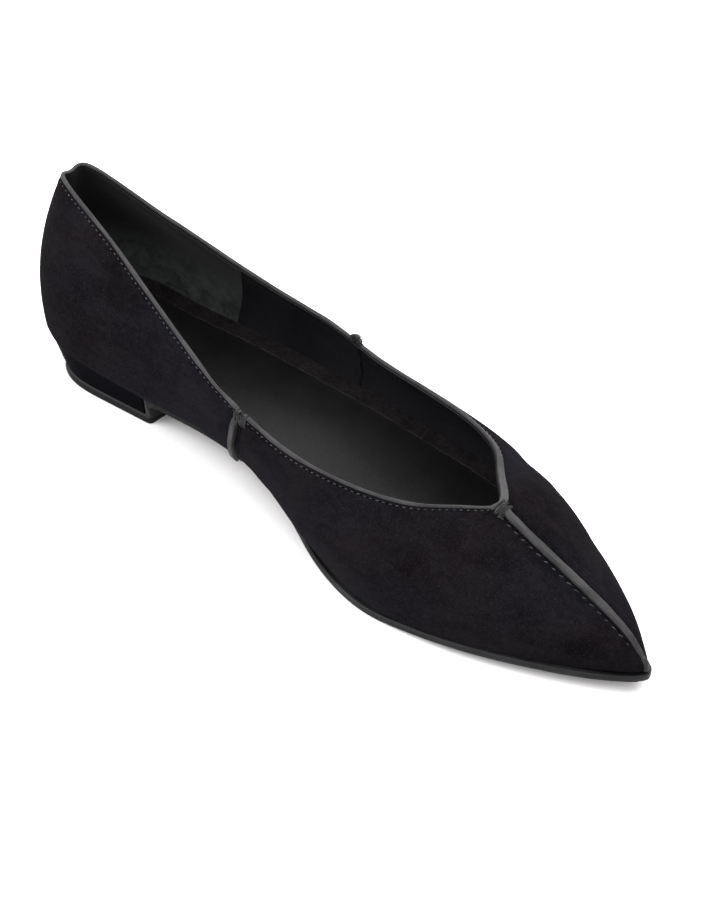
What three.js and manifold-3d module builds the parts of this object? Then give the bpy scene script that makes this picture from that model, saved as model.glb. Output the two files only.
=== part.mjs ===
// A pointed court shoe on a very low block heel, for the left foot. Millimetres.
// +X runs from heel to toe, +Y to the lateral side, +Z up, and the floor is z = 0.

import * as THREE from "three";
import { mergeVertices } from "three/addons/utils/BufferGeometryUtils.js";
import Module from "manifold-3d";

// Driving sizes of the last
const lastLength = 258.7;
const ballWidth = 80;
const heelWidth = 53;
const backHeight = 68.3;
const throatHeight = 38.5;
const heelRise = 12.6;
const toeSpring = 6.2;

// Upper and its trim
const wall = 1.8;
const bindingHeight = 2.2;
const bindingProud = 0.3;
const vampStripWidth = 3.0;
const vampStripRise = 1.0;
const sideStripWidth = 2.6;
const sideStripRise = 1.6;

// Forms of the trim, as shares: how high the flat sides reach and how wide the crown is
const bindingShoulder = 0.65;
const stripShoulder = 0.7;
const crownWidth = 0.65;
const vampStripStart = 0.35;
const vampStripTaper = 0.3;

// Bottom
const soleThickness = 2.7;
const soleOverhang = 1.2;
const insoleThickness = 2.4;
const heelLength = 55.5;
const heelInset = 0.8;
const heelTaper = 1.6;
const heelRake = 7.0;
const breastFlap = 2.6;
const liftThickness = 3.4;
const liftCorner = 2.0;

// Clearance between neighbouring pieces
const gap = 0.3;

// Stations from the back of the heel to the toe point, as shares:
// x and topX of lastLength, at the feather edge and at the topline or ridge;
// medial, lateral, topMedial and topLateral of heelWidth up to the breast and of ballWidth after it;
// rise of heelRise, spring of toeSpring, edge of soleOverhang;
// highMedial and highLateral of the way up from the throat to the back of the collar and, from the
// throat on, of the throat's height over the feather edge; low and high bow the section outwards.
const columns = [
  "x", "medial", "lateral", "rise", "spring", "topX", "topMedial", "topLateral",
  "highMedial", "highLateral", "low", "high", "edge",
];
const table = {
  back:       [0.000, 0.000, 0.000, 1.00, 0.00, -0.008, 0.000, 0.000, 1.00, 1.00, 0.13, 0.13, -0.7],
  backRound:  [0.014, 0.315, 0.305, 1.00, 0.00, 0.006, 0.120, 0.145, 1.02, 1.00, 0.14, 0.115, -0.7],
  heelSide:   [0.055, 0.450, 0.450, 0.96, 0.00, 0.082, 0.213, 0.230, 0.88, 0.79, 0.14, 0.13, -0.7],
  heelMid:    [0.137, 0.467, 0.524, 0.80, 0.00, 0.162, 0.307, 0.302, 0.69, 0.60, 0.14, 0.08, -0.7],
  breast:     [0.219, 0.433, 0.578, 0.75, 0.00, 0.260, 0.422, 0.393, 0.42, 0.36, 0.14, 0.09, -0.7],
  waist:      [0.344, 0.262, 0.409, 0.71, 0.00, 0.374, 0.361, 0.356, 0.13, 0.07, 0.15, 0.09, -1.2],
  waistFore:  [0.464, 0.305, 0.480, 0.37, 0.00, 0.450, 0.392, 0.371, 0.02, -0.09, 0.17, 0.11, -1.0],
  ballIn:     [0.571, 0.415, 0.528, 0.00, 0.00, 0.545, 0.402, 0.356, -0.01, -0.10, 0.22, 0.15, 1.2],
  ball:       [0.667, 0.494, 0.505, 0.00, 0.00, 0.681, 0.300, 0.229, 0.03, -0.04, 0.28, 0.19, 1.0],
  throatSide: [0.713, 0.489, 0.480, 0.00, 0.10, 0.724, 0.168, 0.072, 0.01, -0.01, 0.32, 0.21, 0.5],
  throat:     [0.750, 0.471, 0.444, 0.00, 0.24, 0.752, 0.054, -0.054, 1.00, 1.00, 0.34, 0.24, 0.4],
  vamp:       [0.807, 0.421, 0.361, 0.00, 0.40, 0.807, 0.059, -0.059, 0.83, 0.83, 0.355, 0.25, 0.5],
  toe:        [0.911, 0.266, 0.171, 0.00, 0.61, 0.910, 0.061, -0.061, 0.54, 0.54, 0.34, 0.27, 1.2],
  tipRound:   [0.980, 0.129, 0.001, 0.00, 0.78, 0.977, 0.062, -0.062, 0.26, 0.26, 0.31, 0.27, 1.4],
  tip:        [1.000, 0.063, -0.063, 0.00, 0.92, 0.990, 0.060, -0.060, 0.12, 0.12, 0.25, 0.25, 1.3],
};
const names = Object.keys(table);
const rows = names.map((name) =>
  Object.fromEntries(columns.map((column, i) => [column, table[name][i]])));
const rowOf = (name) => names.indexOf(name);

const MEDIAL = -1;
const LATERAL = 1;

// The side seams run from the feather edge up to the topline
const seams = {
  medial: { side: MEDIAL, foot: 0.401, head: 0.416 },
  lateral: { side: LATERAL, foot: 0.42, head: 0.42 },
};

const wasm = await Module();
wasm.setup();

// Cubic spline through values at knots; an end with a slope keeps it, any other runs out straight
function spline(knots, values, startSlope, endSlope) {
  const last = knots.length - 1;
  const step = (i) => knots[i + 1] - knots[i];
  const slope = (i) => (values[i + 1] - values[i]) / step(i);
  const below = [0];
  const middle = [startSlope === undefined ? 1 : 2 * step(0)];
  const above = [startSlope === undefined ? 0 : step(0)];
  const right = [startSlope === undefined ? 0 : 6 * (slope(0) - startSlope)];
  for (let i = 1; i < last; i += 1) {
    below[i] = step(i - 1);
    middle[i] = 2 * (step(i - 1) + step(i));
    above[i] = step(i);
    right[i] = 6 * (slope(i) - slope(i - 1));
  }
  below[last] = endSlope === undefined ? 0 : step(last - 1);
  middle[last] = endSlope === undefined ? 1 : 2 * step(last - 1);
  right[last] = endSlope === undefined ? 0 : 6 * (endSlope - slope(last - 1));
  for (let i = 1; i <= last; i += 1) {
    const share = below[i] / middle[i - 1];
    middle[i] -= share * above[i - 1];
    right[i] -= share * right[i - 1];
  }
  const bend = [];
  bend[last] = right[last] / middle[last];
  for (let i = last - 1; i >= 0; i -= 1) {
    bend[i] = (right[i] - above[i] * bend[i + 1]) / middle[i];
  }
  return (t) => {
    let i = 0;
    while (i < last - 1 && t > knots[i + 1]) i += 1;
    const h = step(i);
    const a = (knots[i + 1] - t) / h;
    const b = (t - knots[i]) / h;
    const curved = ((a ** 3 - a) * bend[i] + (b ** 3 - b) * bend[i + 1]) * h * h / 6;
    return a * values[i] + b * values[i + 1] + curved;
  };
}

// Last: how far along, from 0 at the back of the heel to 1 at the toe point, each station lies
const widthAt = (i) => (i <= rowOf("breast") ? heelWidth : ballWidth);
const shortestStep = 0.023 * lastLength;
const travelled = rows.reduce((sums, row, i) => {
  if (i === 0) return [0];
  const before = rows[i - 1];
  const dx = (row.x - before.x) * lastLength;
  const dy = row.lateral * widthAt(i) - before.lateral * widthAt(i - 1);
  return [...sums, sums[i - 1] + Math.max(shortestStep, Math.hypot(dx, dy))];
}, []);
const knots = travelled.map((distance) => distance / travelled.at(-1));
const throatAt = knots[rowOf("throat")];
const ballInAt = knots[rowOf("ballIn")];
const ballAt = knots[rowOf("ball")];

const column = (name) => rows.map((row) => row[name]);
const curve = (values, from, to, startSlope, endSlope) => spline(
  knots.slice(from, to + 1), values.slice(from, to + 1), startSlope, endSlope);
const end = rows.length - 1;
const riseCurve = curve(column("rise"), 0, rowOf("ballIn"), 0, 0);
const springCurve = curve(column("spring"), rowOf("ball"), end, 0, undefined);
const lowCurve = curve(column("low"), 0, end);
const highCurve = curve(column("high"), 0, end);
const edgeCurve = curve(column("edge"), 0, end);

// Height of the feather edge: flat from inside the ball to the ball, so that the forefoot stands
function featherHeight(s) {
  const rise = s < ballInAt ? heelRise * riseCurve(s) : 0;
  const spring = s > ballAt ? toeSpring * springCurve(s) : 0;
  return soleThickness + rise + spring;
}

// One side of the last: its feather edge, its topline and, past the throat, its ridge
function lastSide(side) {
  const key = side === MEDIAL ? "Medial" : "Lateral";
  const widths = (shares) => shares.map((share, i) => side * share * widthAt(i));
  const featherX = curve(column("x").map((share) => share * lastLength), 0, end, 0, 0);
  const featherY = curve(widths(column(key.toLowerCase())), 0, end);
  const throat = rowOf("throat");
  const throatOver = throatHeight - featherHeight(throatAt);
  const heights = column(`high${key}`).map((share, i) => (i < throat
    ? throatHeight + share * (backHeight - throatHeight)
    : featherHeight(knots[i]) + share * throatOver));
  const tops = [column("topX").map((share) => share * lastLength), widths(column(`top${key}`)), heights];
  const collar = tops.map((values, axis) =>
    curve(values, 0, throat, axis === 1 ? undefined : 0, axis === 0 ? 0 : undefined));
  const ridge = tops.map((values) => curve(values, throat, end));
  return {
    feather: (s) => new THREE.Vector3(featherX(s), featherY(s), featherHeight(s)),
    top: (s) => new THREE.Vector3(...(s <= throatAt ? collar : ridge).map((axis) => axis(s))),
  };
}
const sides = { [MEDIAL]: lastSide(MEDIAL), [LATERAL]: lastSide(LATERAL) };

// Past either end a place runs on over the other side
function wrapped(side, s) {
  if (s < 0) return [-side, -s];
  return s > 1 ? [-side, 2 - s] : [side, s];
}

const nudge = 1e-3;

function featherTangent(side, s) {
  const [sideBefore, before] = wrapped(side, s - nudge);
  const [sideAfter, after] = wrapped(side, s + nudge);
  return sides[sideAfter].feather(after).sub(sides[sideBefore].feather(before)).normalize();
}

// Point of the skin: v runs from 0 at the feather edge to 1 at the topline or ridge
function skin(side, s, v) {
  const foot = sides[side].feather(s);
  const chord = sides[side].top(s).sub(foot);
  const out = featherTangent(side, s).cross(chord).normalize().multiplyScalar(-side * chord.length());
  const low = foot.clone().addScaledVector(chord, 1 / 3).addScaledVector(out, lowCurve(s));
  const high = foot.clone().addScaledVector(chord, 2 / 3).addScaledVector(out, highCurve(s));
  const u = 1 - v;
  return foot.clone().multiplyScalar(u ** 3)
    .addScaledVector(low, 3 * v * u * u)
    .addScaledVector(high, 3 * v * v * u)
    .addScaledVector(foot.clone().add(chord), v ** 3);
}

// Outward normal of one side. The ridge ends in a point, where the normal just before it serves
function sideNormal(side, s, v) {
  const place = v === 1 ? Math.min(s, 1 - 2 * nudge) : s;
  const [sideBefore, before] = wrapped(side, place - nudge);
  const [sideAfter, after] = wrapped(side, place + nudge);
  const along = skin(sideAfter, after, v).sub(skin(sideBefore, before, v));
  const up = skin(side, place, Math.min(1, v + nudge)).sub(skin(side, place, Math.max(0, v - nudge)));
  return along.cross(up).multiplyScalar(-side).normalize();
}

// Outward normal; both sides agree on the back line, the toe line and the ridge
function normal(side, s, v) {
  const own = sideNormal(side, s, v);
  const shared = s === 0 || s === 1 || (v === 1 && s >= throatAt);
  return shared ? own.add(sideNormal(-side, s, v)).normalize() : own;
}

// Point of the skin moved outwards, far enough at a crease to clear the faces beside it
function shifted(side, s, v, grow) {
  const out = normal(side, s, v);
  const facing = Math.max(0.6, out.dot(sideNormal(side, s, v)));
  return skin(side, s, v).addScaledVector(out, grow / facing);
}

// Closed solid from the triangles and quads that a function lays down
function solid(lay) {
  const corners = [];
  const triangle = (a, b, c) => corners.push(...a.toArray(), ...b.toArray(), ...c.toArray());
  const quad = (a, b, c, d) => {
    triangle(a, b, c);
    triangle(a, c, d);
  };
  lay(quad, triangle);
  const soup = new THREE.BufferGeometry();
  soup.setAttribute("position", new THREE.Float32BufferAttribute(corners, 3));
  const merged = mergeVertices(soup, 1e-4);
  const place = (i) => new THREE.Vector3().fromBufferAttribute(merged.attributes.position, i);
  const faces = [];
  let volume = 0;
  for (let i = 0; i < merged.index.count; i += 3) {
    const [a, b, c] = merged.index.array.slice(i, i + 3);
    if (a !== b && b !== c && c !== a) {
      faces.push([a, b, c]);
      volume += place(a).dot(place(b).cross(place(c)));
    }
  }
  if (volume < 0) faces.forEach((face) => face.reverse());
  return new wasm.Manifold(new wasm.Mesh({
    numProp: 3,
    vertProperties: new Float32Array(merged.attributes.position.array),
    triVerts: new Uint32Array(faces.flat()),
  }));
}

// Solid through rings of equal length, closed into a loop or capped at both ends
function loft(rings, loop = false) {
  return solid((quad, triangle) => {
    const count = rings[0].length;
    const spans = loop ? rings.length : rings.length - 1;
    for (let i = 0; i < spans; i += 1) {
      const here = rings[i];
      const next = rings[(i + 1) % rings.length];
      for (let k = 0; k < count; k += 1) {
        const after = (k + 1) % count;
        quad(here[k], next[k], next[after], here[after]);
      }
    }
    if (loop) return;
    const [first, final] = [rings[0], rings.at(-1)];
    for (let k = 1; k < count - 1; k += 1) {
      triangle(first[0], first[k], first[k + 1]);
      triangle(final[0], final[k + 1], final[k]);
    }
  });
}

const spread = (from, to, steps) =>
  Array.from({ length: steps + 1 }, (_, i) => from + (to - from) * i / steps);

// Stations round the topline, closest together where it turns, at the heel and at the throat
const crowding = 0.5;
const collarStations = spread(0, 1, 38).map((share) =>
  throatAt * (share - crowding * Math.sin(2 * Math.PI * share) / (2 * Math.PI)));

// The last grown by an amount, or shrunk by it to the room inside the upper. A skirt runs its
// sides on below the feather edge, and a lift carries its mouth up through the topline.
const cavityEnd = 0.5 * (knots[rowOf("toe")] + knots[rowOf("tipRound")]);
const skinRows = spread(0, 1, 10);
function lastSolid(grow, { to = 1, skirt = 0, lift = 0 } = {}) {
  const vamp = spread(throatAt, Math.min(to, cavityEnd), 12).slice(1);
  const nose = to > cavityEnd ? spread(cavityEnd, to, 12).slice(1) : [];
  const stations = [...collarStations, ...vamp, ...nose];
  const mouth = collarStations.length - 1;
  const grid = (side) => stations.map((s, i) => {
    const line = skinRows.map((v) => shifted(side, s, v, grow));
    line.unshift(line[0].clone().setZ(line[0].z - skirt));
    if (i <= mouth) line.push(line.at(-1).clone().setZ(line.at(-1).z + lift));
    return line;
  });
  const medial = grid(MEDIAL);
  const lateral = grid(LATERAL);
  return solid((quad) => {
    const walls = [[medial, false], [lateral, true]];
    for (const [lines, turned] of walls) {
      for (let i = 0; i < stations.length - 1; i += 1) {
        const height = Math.min(lines[i].length, lines[i + 1].length) - 1;
        for (let j = 0; j < height; j += 1) {
          const corners = [lines[i][j], lines[i + 1][j], lines[i + 1][j + 1], lines[i][j + 1]];
          quad(...(turned ? corners.reverse() : corners));
        }
      }
    }
    for (let i = 0; i < stations.length - 1; i += 1) {
      quad(medial[i][0], lateral[i][0], lateral[i + 1][0], medial[i + 1][0]);
      if (i < mouth) quad(medial[i].at(-1), medial[i + 1].at(-1), lateral[i + 1].at(-1), lateral[i].at(-1));
    }
    const nose = [medial.at(-1), lateral.at(-1)];
    for (let j = 0; j < nose[0].length - 1; j += 1) {
      quad(nose[0][j], nose[1][j], nose[1][j + 1], nose[0][j + 1]);
    }
  });
}

// Topline: a place on it with its outward normal and the way down into the upper
const throatBlend = 0.05;
function toplineFrame(side, s) {
  const before = s - nudge;
  const after = s + nudge;
  const [sideBefore, from] = before < 0 ? [-side, -before] : [side, before];
  const [sideAfter, to] = after > throatAt ? [-side, 2 * throatAt - after] : [side, after];
  const along = sides[sideAfter].top(to).sub(sides[sideBefore].top(from)).normalize();
  const share = THREE.MathUtils.smoothstep(s, throatAt - throatBlend, throatAt);
  const out = normal(side, s, 1).addScaledVector(sideNormal(-side, s, 1), s < throatAt ? share : 0);
  out.addScaledVector(along, -out.dot(along)).normalize();
  const down = along.clone().cross(out).multiplyScalar(-side);
  return { at: sides[side].top(s), out, down };
}

// Ring swept round the whole topline: points are [outward, down] in the topline's frame
function toplineRing(outline) {
  const frames = [
    ...collarStations.map((s) => toplineFrame(MEDIAL, s)),
    ...collarStations.slice(1, -1).reverse().map((s) => toplineFrame(LATERAL, s)),
  ];
  return loft(frames.map(({ at, out, down }) => outline.map(([outward, below]) =>
    at.clone().addScaledVector(out, outward).addScaledVector(down, below))), true);
}

// Strip over the skin: a bar along places with their normals, mitred where it bends over the toe,
// and cut to the skin's own form
function stripOver(places, width, rise) {
  const depth = wall;
  const bar = places.map(({ at, out, scale }, i) => {
    const before = places[Math.max(0, i - 1)].at;
    const after = places[Math.min(places.length - 1, i + 1)].at;
    const across = after.clone().sub(before).cross(out).normalize().multiplyScalar(scale * width / 2);
    const bend = i > 0 ? out.dot(at.clone().sub(before).normalize()) : 0;
    const mitre = 1 / Math.sqrt(1 - bend * bend);
    const lifted = (amount) => at.clone().addScaledVector(out, mitre * amount);
    const shoulder = gap + stripShoulder * rise;
    return [
      lifted(-depth).sub(across), lifted(-depth).add(across),
      lifted(shoulder).add(across), lifted(gap + rise).addScaledVector(across, crownWidth),
      lifted(gap + rise).addScaledVector(across, -crownWidth), lifted(shoulder).sub(across),
    ];
  });
  return loft(bar).subtract(lastSolid(gap, { skirt: 2 * wall }));
}

// Outline of the bottom: the feather edge moved outwards in plan
function outline(side, s, outward) {
  const along = featherTangent(side, s).setZ(0).normalize();
  const out = new THREE.Vector3(-side * along.y, side * along.x, 0);
  return sides[side].feather(s).addScaledVector(out, outward);
}

// Place along the last whose feather edge lies at x
function stationAt(x) {
  let [low, high] = [0, 1];
  for (let i = 0; i < 40; i += 1) {
    const middle = (low + high) / 2;
    if (sides[MEDIAL].feather(middle).x < x) low = middle;
    else high = middle;
  }
  return low;
}

// Height of the bottom of the upper at x, and with it the top of whatever carries it
const seatHeight = (x) => featherHeight(stationAt(x));

// Both edges of a flat piece at a station, moved outwards in plan and set under the seat
const edges = (s, outward, drop) => [MEDIAL, LATERAL].map((side) => {
  const point = outline(side, s, outward);
  return point.setZ(seatHeight(point.x) - drop);
});

// Binding: a rounded edge that sits on the rim of the upper all round the topline
const bindingOuter = bindingProud;
const bindingInner = -wall - bindingProud;
function makeBinding() {
  const middle = (bindingOuter + bindingInner) / 2;
  const crown = crownWidth * (bindingOuter - middle);
  const shoulder = (1 - bindingShoulder) * bindingHeight;
  return toplineRing([
    [bindingOuter, bindingHeight], [bindingOuter, shoulder], [middle + crown, 0],
    [middle - crown, 0], [bindingInner, shoulder], [bindingInner, bindingHeight],
  ]);
}

// Upper: one hollow shell, open at the topline and underneath
function makeUpper() {
  const room = lastSolid(-wall, { to: cavityEnd, skirt: 2 * wall, lift: 2 * bindingHeight });
  const seat = bindingHeight + gap;
  const clear = 2 * wall;
  const rebate = toplineRing([
    [bindingOuter, seat], [clear, seat], [clear, -clear],
    [-clear, -clear], [-clear, seat], [bindingInner, seat],
  ]);
  return lastSolid(0).subtract(room).subtract(rebate);
}

// Raised strip down the centre of the vamp, over the toe and down to the sole
function makeVampStrip() {
  const start = THREE.MathUtils.lerp(throatAt, knots[rowOf("vamp")], vampStripStart);
  const ridge = spread(start, 1, 26).map((s) => ({
    at: skin(MEDIAL, s, 1),
    out: normal(MEDIAL, s, 1),
    scale: 1 - vampStripTaper * THREE.MathUtils.smoothstep(s, knots[rowOf("toe")], 1),
  }));
  const toe = spread(1, 0.05, 5).slice(1).map((v) => ({
    at: skin(MEDIAL, 1, v), out: normal(MEDIAL, 1, v), scale: 1 - vampStripTaper,
  }));
  return stripOver([...ridge, ...toe], vampStripWidth, vampStripRise);
}

// Raised strip over a side seam, from the feather edge up past the binding
function makeSideStrip({ side, foot, head }) {
  const places = spread(0, 1, 14).map((v) => {
    const s = THREE.MathUtils.lerp(foot, head, v);
    return { at: skin(side, s, v), out: normal(side, s, v), scale: 1 };
  });
  const clear = bindingProud + gap;
  const seat = bindingHeight + gap;
  const beside = toplineRing([[clear, seat], [clear, -seat], [-2 * wall, -seat], [-2 * wall, seat]]);
  return stripOver(places, sideStripWidth, sideStripRise).subtract(beside);
}

const breastAt = stationAt(heelLength);
const flapBack = heelLength + gap;
const flapFront = flapBack + breastFlap;
const liftInset = -heelInset - heelTaper;
const heelStations = spread(0, breastAt, 24);
const soleStations = [
  ...spread(stationAt(flapFront + breastFlap), ballAt, 20),
  ...spread(ballAt, knots[rowOf("toe")], 10).slice(1),
  ...spread(knots[rowOf("toe")], 1, 12).slice(1),
];

// Both edges of the foot of the heel, raked forward from the back
const heelFoot = (s, z) => [MEDIAL, LATERAL].map((side) => {
  const point = outline(side, s, liftInset);
  const rake = heelRake * Math.max(0, 1 - point.x / heelLength);
  return point.setX(point.x + rake).setZ(z);
});

// Outsole: from the toe back along the arch, then down the breast of the heel as a flap
function makeOutsole() {
  const section = (back, front) => [back[0], back[1], front[1], front[0]];
  const pair = (inset, x, z) => edges(breastAt, inset, 0).map((point) => point.setX(x).setZ(z));
  const foot = liftThickness + gap;
  const flap = [
    section(pair(liftInset, flapBack, foot), pair(liftInset, flapFront, foot)),
    section(
      pair(-heelInset, flapBack, seatHeight(flapBack) - gap),
      pair(-heelInset, flapFront, seatHeight(flapFront) - soleThickness)),
  ];
  const forepart = soleStations.map((s) => {
    const edge = soleOverhang * edgeCurve(s);
    return section(edges(s, edge, gap), edges(s, edge, soleThickness));
  });
  return loft([...flap, ...forepart]);
}

// Insole with its sock: a slab on the sole and the heel seat, cut to the room inside the upper
function makeInsole() {
  const stations = [...heelStations, ...soleStations].filter((s) => s < cavityEnd);
  const slab = loft(stations.map((s) => {
    const [low, high] = [edges(s, 2 * wall, 0), edges(s, 2 * wall, -insoleThickness)];
    return [low[0], low[1], high[1], high[0]];
  }));
  return slab.intersect(lastSolid(-wall - gap, { to: cavityEnd, skirt: 2 * wall }));
}

// Heel block: the seat's outline tapering down to the top lift
function makeHeelBlock() {
  return loft(heelStations.map((s) => {
    const [high, low] = [edges(s, -heelInset, gap), heelFoot(s, liftThickness + gap)];
    const section = [high[0], high[1], low[1], low[0]];
    return s === breastAt ? section.map((point) => point.setX(heelLength)) : section;
  }));
}

// Top lift: under the block and the flap, with its front corners rounded off
function makeTopLift() {
  const roundFrom = stationAt(flapFront - liftCorner);
  const straight = spread(0, roundFrom, 22).map((s) => heelFoot(s, 0));
  const corner = spread(0, Math.PI / 2, 5).slice(1).map((turn) =>
    heelFoot(roundFrom, 0).map((point) => {
      const inward = liftCorner * (1 - Math.cos(turn));
      point.x = flapFront - liftCorner * (1 - Math.sin(turn));
      return point.setY(point.y - Math.sign(point.y) * inward);
    }));
  return loft([...straight, ...corner].map((low) => {
    const high = low.map((point) => point.clone().setZ(liftThickness));
    return [high[0], high[1], low[1], low[0]];
  }));
}

const suede = { color: 0x1f1e22, roughness: 0.95, metalness: 0 };
const leather = { color: 0x55555a, roughness: 0.45, metalness: 0 };
const finishes = {
  upper: suede,
  topline_binding: leather,
  vamp_seam_strip: leather,
  side_seam_strip_medial: leather,
  side_seam_strip_lateral: leather,
  outsole: { color: 0x2b2b2d, roughness: 0.4, metalness: 0 },
  insole: { color: 0x2a2a2c, roughness: 0.5, metalness: 0 },
  heel_block: { color: 0x141416, roughness: 0.6, metalness: 0 },
  top_lift: { color: 0x3a3a3c, roughness: 0.5, metalness: 0 },
};

const pieces = {
  upper: makeUpper(),
  topline_binding: makeBinding(),
  vamp_seam_strip: makeVampStrip(),
  side_seam_strip_medial: makeSideStrip(seams.medial),
  side_seam_strip_lateral: makeSideStrip(seams.lateral),
  outsole: makeOutsole(),
  insole: makeInsole(),
  heel_block: makeHeelBlock(),
  top_lift: makeTopLift(),
};

const shoe = new THREE.Group();
for (const [name, piece] of Object.entries(pieces)) {
  const { vertProperties, triVerts } = piece.getMesh();
  const geometry = new THREE.BufferGeometry();
  geometry.setAttribute("position", new THREE.Float32BufferAttribute(vertProperties, 3));
  geometry.setIndex(Array.from(triVerts));
  geometry.computeVertexNormals();
  const mesh = new THREE.Mesh(geometry, new THREE.MeshStandardMaterial(finishes[name]));
  mesh.name = name;
  shoe.add(mesh);
}

// The origin is on the floor under the middle of the shoe
const middle = new THREE.Box3().setFromObject(shoe).getCenter(new THREE.Vector3());
shoe.position.set(-middle.x, -middle.y, 0);

export default shoe;
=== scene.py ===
# %% [markdown]
# A pointed suede shoe for the left foot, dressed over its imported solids.
# The solids hold the true form, so this lesson starts by loading them and never moves them.
# Each piece below is laid on the same last as the solids, only finer, and then takes their place.

import math

import bpy
import numpy as np
from mathutils import Matrix, Vector


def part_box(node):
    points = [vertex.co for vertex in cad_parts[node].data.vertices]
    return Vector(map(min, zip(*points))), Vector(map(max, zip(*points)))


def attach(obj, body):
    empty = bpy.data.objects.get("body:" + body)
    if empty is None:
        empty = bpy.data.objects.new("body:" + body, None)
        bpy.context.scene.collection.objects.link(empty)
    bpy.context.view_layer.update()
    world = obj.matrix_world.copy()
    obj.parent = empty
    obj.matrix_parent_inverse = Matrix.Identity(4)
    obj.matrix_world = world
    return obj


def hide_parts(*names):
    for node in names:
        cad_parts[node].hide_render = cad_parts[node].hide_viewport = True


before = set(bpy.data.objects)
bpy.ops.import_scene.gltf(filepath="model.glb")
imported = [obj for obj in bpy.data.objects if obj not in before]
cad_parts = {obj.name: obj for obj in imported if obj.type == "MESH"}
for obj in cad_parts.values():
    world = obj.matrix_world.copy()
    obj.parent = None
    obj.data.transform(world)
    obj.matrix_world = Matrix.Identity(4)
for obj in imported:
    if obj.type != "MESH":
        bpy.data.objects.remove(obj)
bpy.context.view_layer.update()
mm = 0.001
print("solids:", ", ".join(sorted(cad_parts)))

# %% [markdown]
# A shoemaker works from a last, the hard form of the foot.
# Everything that touches the foot follows it, so one table of sections describes the whole shoe.
# The rows run from the back of the heel to the toe, and most values are shares of the named sizes.
# A row gives the feather edge and its lift, the topline or the ridge above it, how far the wall bows
# out low down and high up, and how far the sole's edge stands out.

# %% Sizes of the last
last_length = 258.7 * mm
ball_width = 80 * mm
heel_width = 53 * mm
back_height = 68.3 * mm
throat_height = 38.5 * mm
heel_rise = 12.6 * mm
toe_spring = 6.2 * mm
sole_thickness = 2.7 * mm

columns = (
    "x", "medial", "lateral", "rise", "spring", "top_x", "top_medial", "top_lateral",
    "high_medial", "high_lateral", "low", "high", "edge",
)
sections = {
    "back":        (0.000, 0.000, 0.000, 1.00, 0.00, -0.008, 0.000, 0.000, 1.00, 1.00, 0.13, 0.13, -0.7),
    "back_round":  (0.014, 0.315, 0.305, 1.00, 0.00, 0.006, 0.120, 0.145, 1.02, 1.00, 0.14, 0.115, -0.7),
    "heel_side":   (0.055, 0.450, 0.450, 0.96, 0.00, 0.082, 0.213, 0.230, 0.88, 0.79, 0.14, 0.13, -0.7),
    "heel_mid":    (0.137, 0.467, 0.524, 0.80, 0.00, 0.162, 0.307, 0.302, 0.69, 0.60, 0.14, 0.08, -0.7),
    "breast":      (0.219, 0.433, 0.578, 0.75, 0.00, 0.260, 0.422, 0.393, 0.42, 0.36, 0.14, 0.09, -0.7),
    "waist":       (0.344, 0.262, 0.409, 0.71, 0.00, 0.374, 0.361, 0.356, 0.13, 0.07, 0.15, 0.09, -1.2),
    "waist_fore":  (0.464, 0.305, 0.480, 0.37, 0.00, 0.450, 0.392, 0.371, 0.02, -0.09, 0.17, 0.11, -1.0),
    "ball_in":     (0.571, 0.415, 0.528, 0.00, 0.00, 0.545, 0.402, 0.356, -0.01, -0.10, 0.22, 0.15, 1.2),
    "ball":        (0.667, 0.494, 0.505, 0.00, 0.00, 0.681, 0.300, 0.229, 0.03, -0.04, 0.28, 0.19, 1.0),
    "throat_side": (0.713, 0.489, 0.480, 0.00, 0.10, 0.724, 0.168, 0.072, 0.01, -0.01, 0.32, 0.21, 0.5),
    "throat":      (0.750, 0.471, 0.444, 0.00, 0.24, 0.752, 0.054, -0.054, 1.00, 1.00, 0.34, 0.24, 0.4),
    "vamp":        (0.807, 0.421, 0.361, 0.00, 0.40, 0.807, 0.059, -0.059, 0.83, 0.83, 0.355, 0.25, 0.5),
    "toe":         (0.911, 0.266, 0.171, 0.00, 0.61, 0.910, 0.061, -0.061, 0.54, 0.54, 0.34, 0.27, 1.2),
    "tip_round":   (0.980, 0.129, 0.001, 0.00, 0.78, 0.977, 0.062, -0.062, 0.26, 0.26, 0.31, 0.27, 1.4),
    "tip":         (1.000, 0.063, -0.063, 0.00, 0.92, 0.990, 0.060, -0.060, 0.12, 0.12, 0.25, 0.25, 1.3),
}
names = list(sections)
share = dict(zip(columns, np.array(list(sections.values())).T))
row_of = names.index
last_row = len(names) - 1
widths = np.where(np.arange(len(names)) <= row_of("breast"), heel_width, ball_width)
print(len(names), "sections along a last of", round(last_length / mm, 1), "mm")

# %% [markdown]
# Between the sections the form runs smoothly, as a draughtsman's spline does.
# A cubic spline through the rows is worked out once for each column of the table.
# Rows are spaced by the way travelled along the lateral edge, so no stretch is hurried.

# %% Splines through the sections
def spline(knots, values, start=None, end=None):
    """Cubic spline through the values. An end with a slope keeps it, any other runs out straight."""
    count = len(knots)
    step = np.diff(knots)
    slope = np.diff(values) / step
    system = np.zeros((count, count))
    right = np.zeros(count)
    system[0, 0] = system[-1, -1] = 1
    for i in range(1, count - 1):
        system[i, i - 1:i + 2] = step[i - 1], 2 * (step[i - 1] + step[i]), step[i]
        right[i] = 6 * (slope[i] - slope[i - 1])
    if start is not None:
        system[0, :2] = 2 * step[0], step[0]
        right[0] = 6 * (slope[0] - start)
    if end is not None:
        system[-1, -2:] = step[-1], 2 * step[-1]
        right[-1] = 6 * (end - slope[-1])
    bend = np.linalg.solve(system, right)

    def at(t):
        i = np.clip(np.searchsorted(knots, t) - 1, 0, count - 2)
        h = step[i]
        a = (knots[i + 1] - t) / h
        b = (t - knots[i]) / h
        curved = ((a ** 3 - a) * bend[i] + (b ** 3 - b) * bend[i + 1]) * h * h / 6
        return a * values[i] + b * values[i + 1] + curved

    return at


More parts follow.
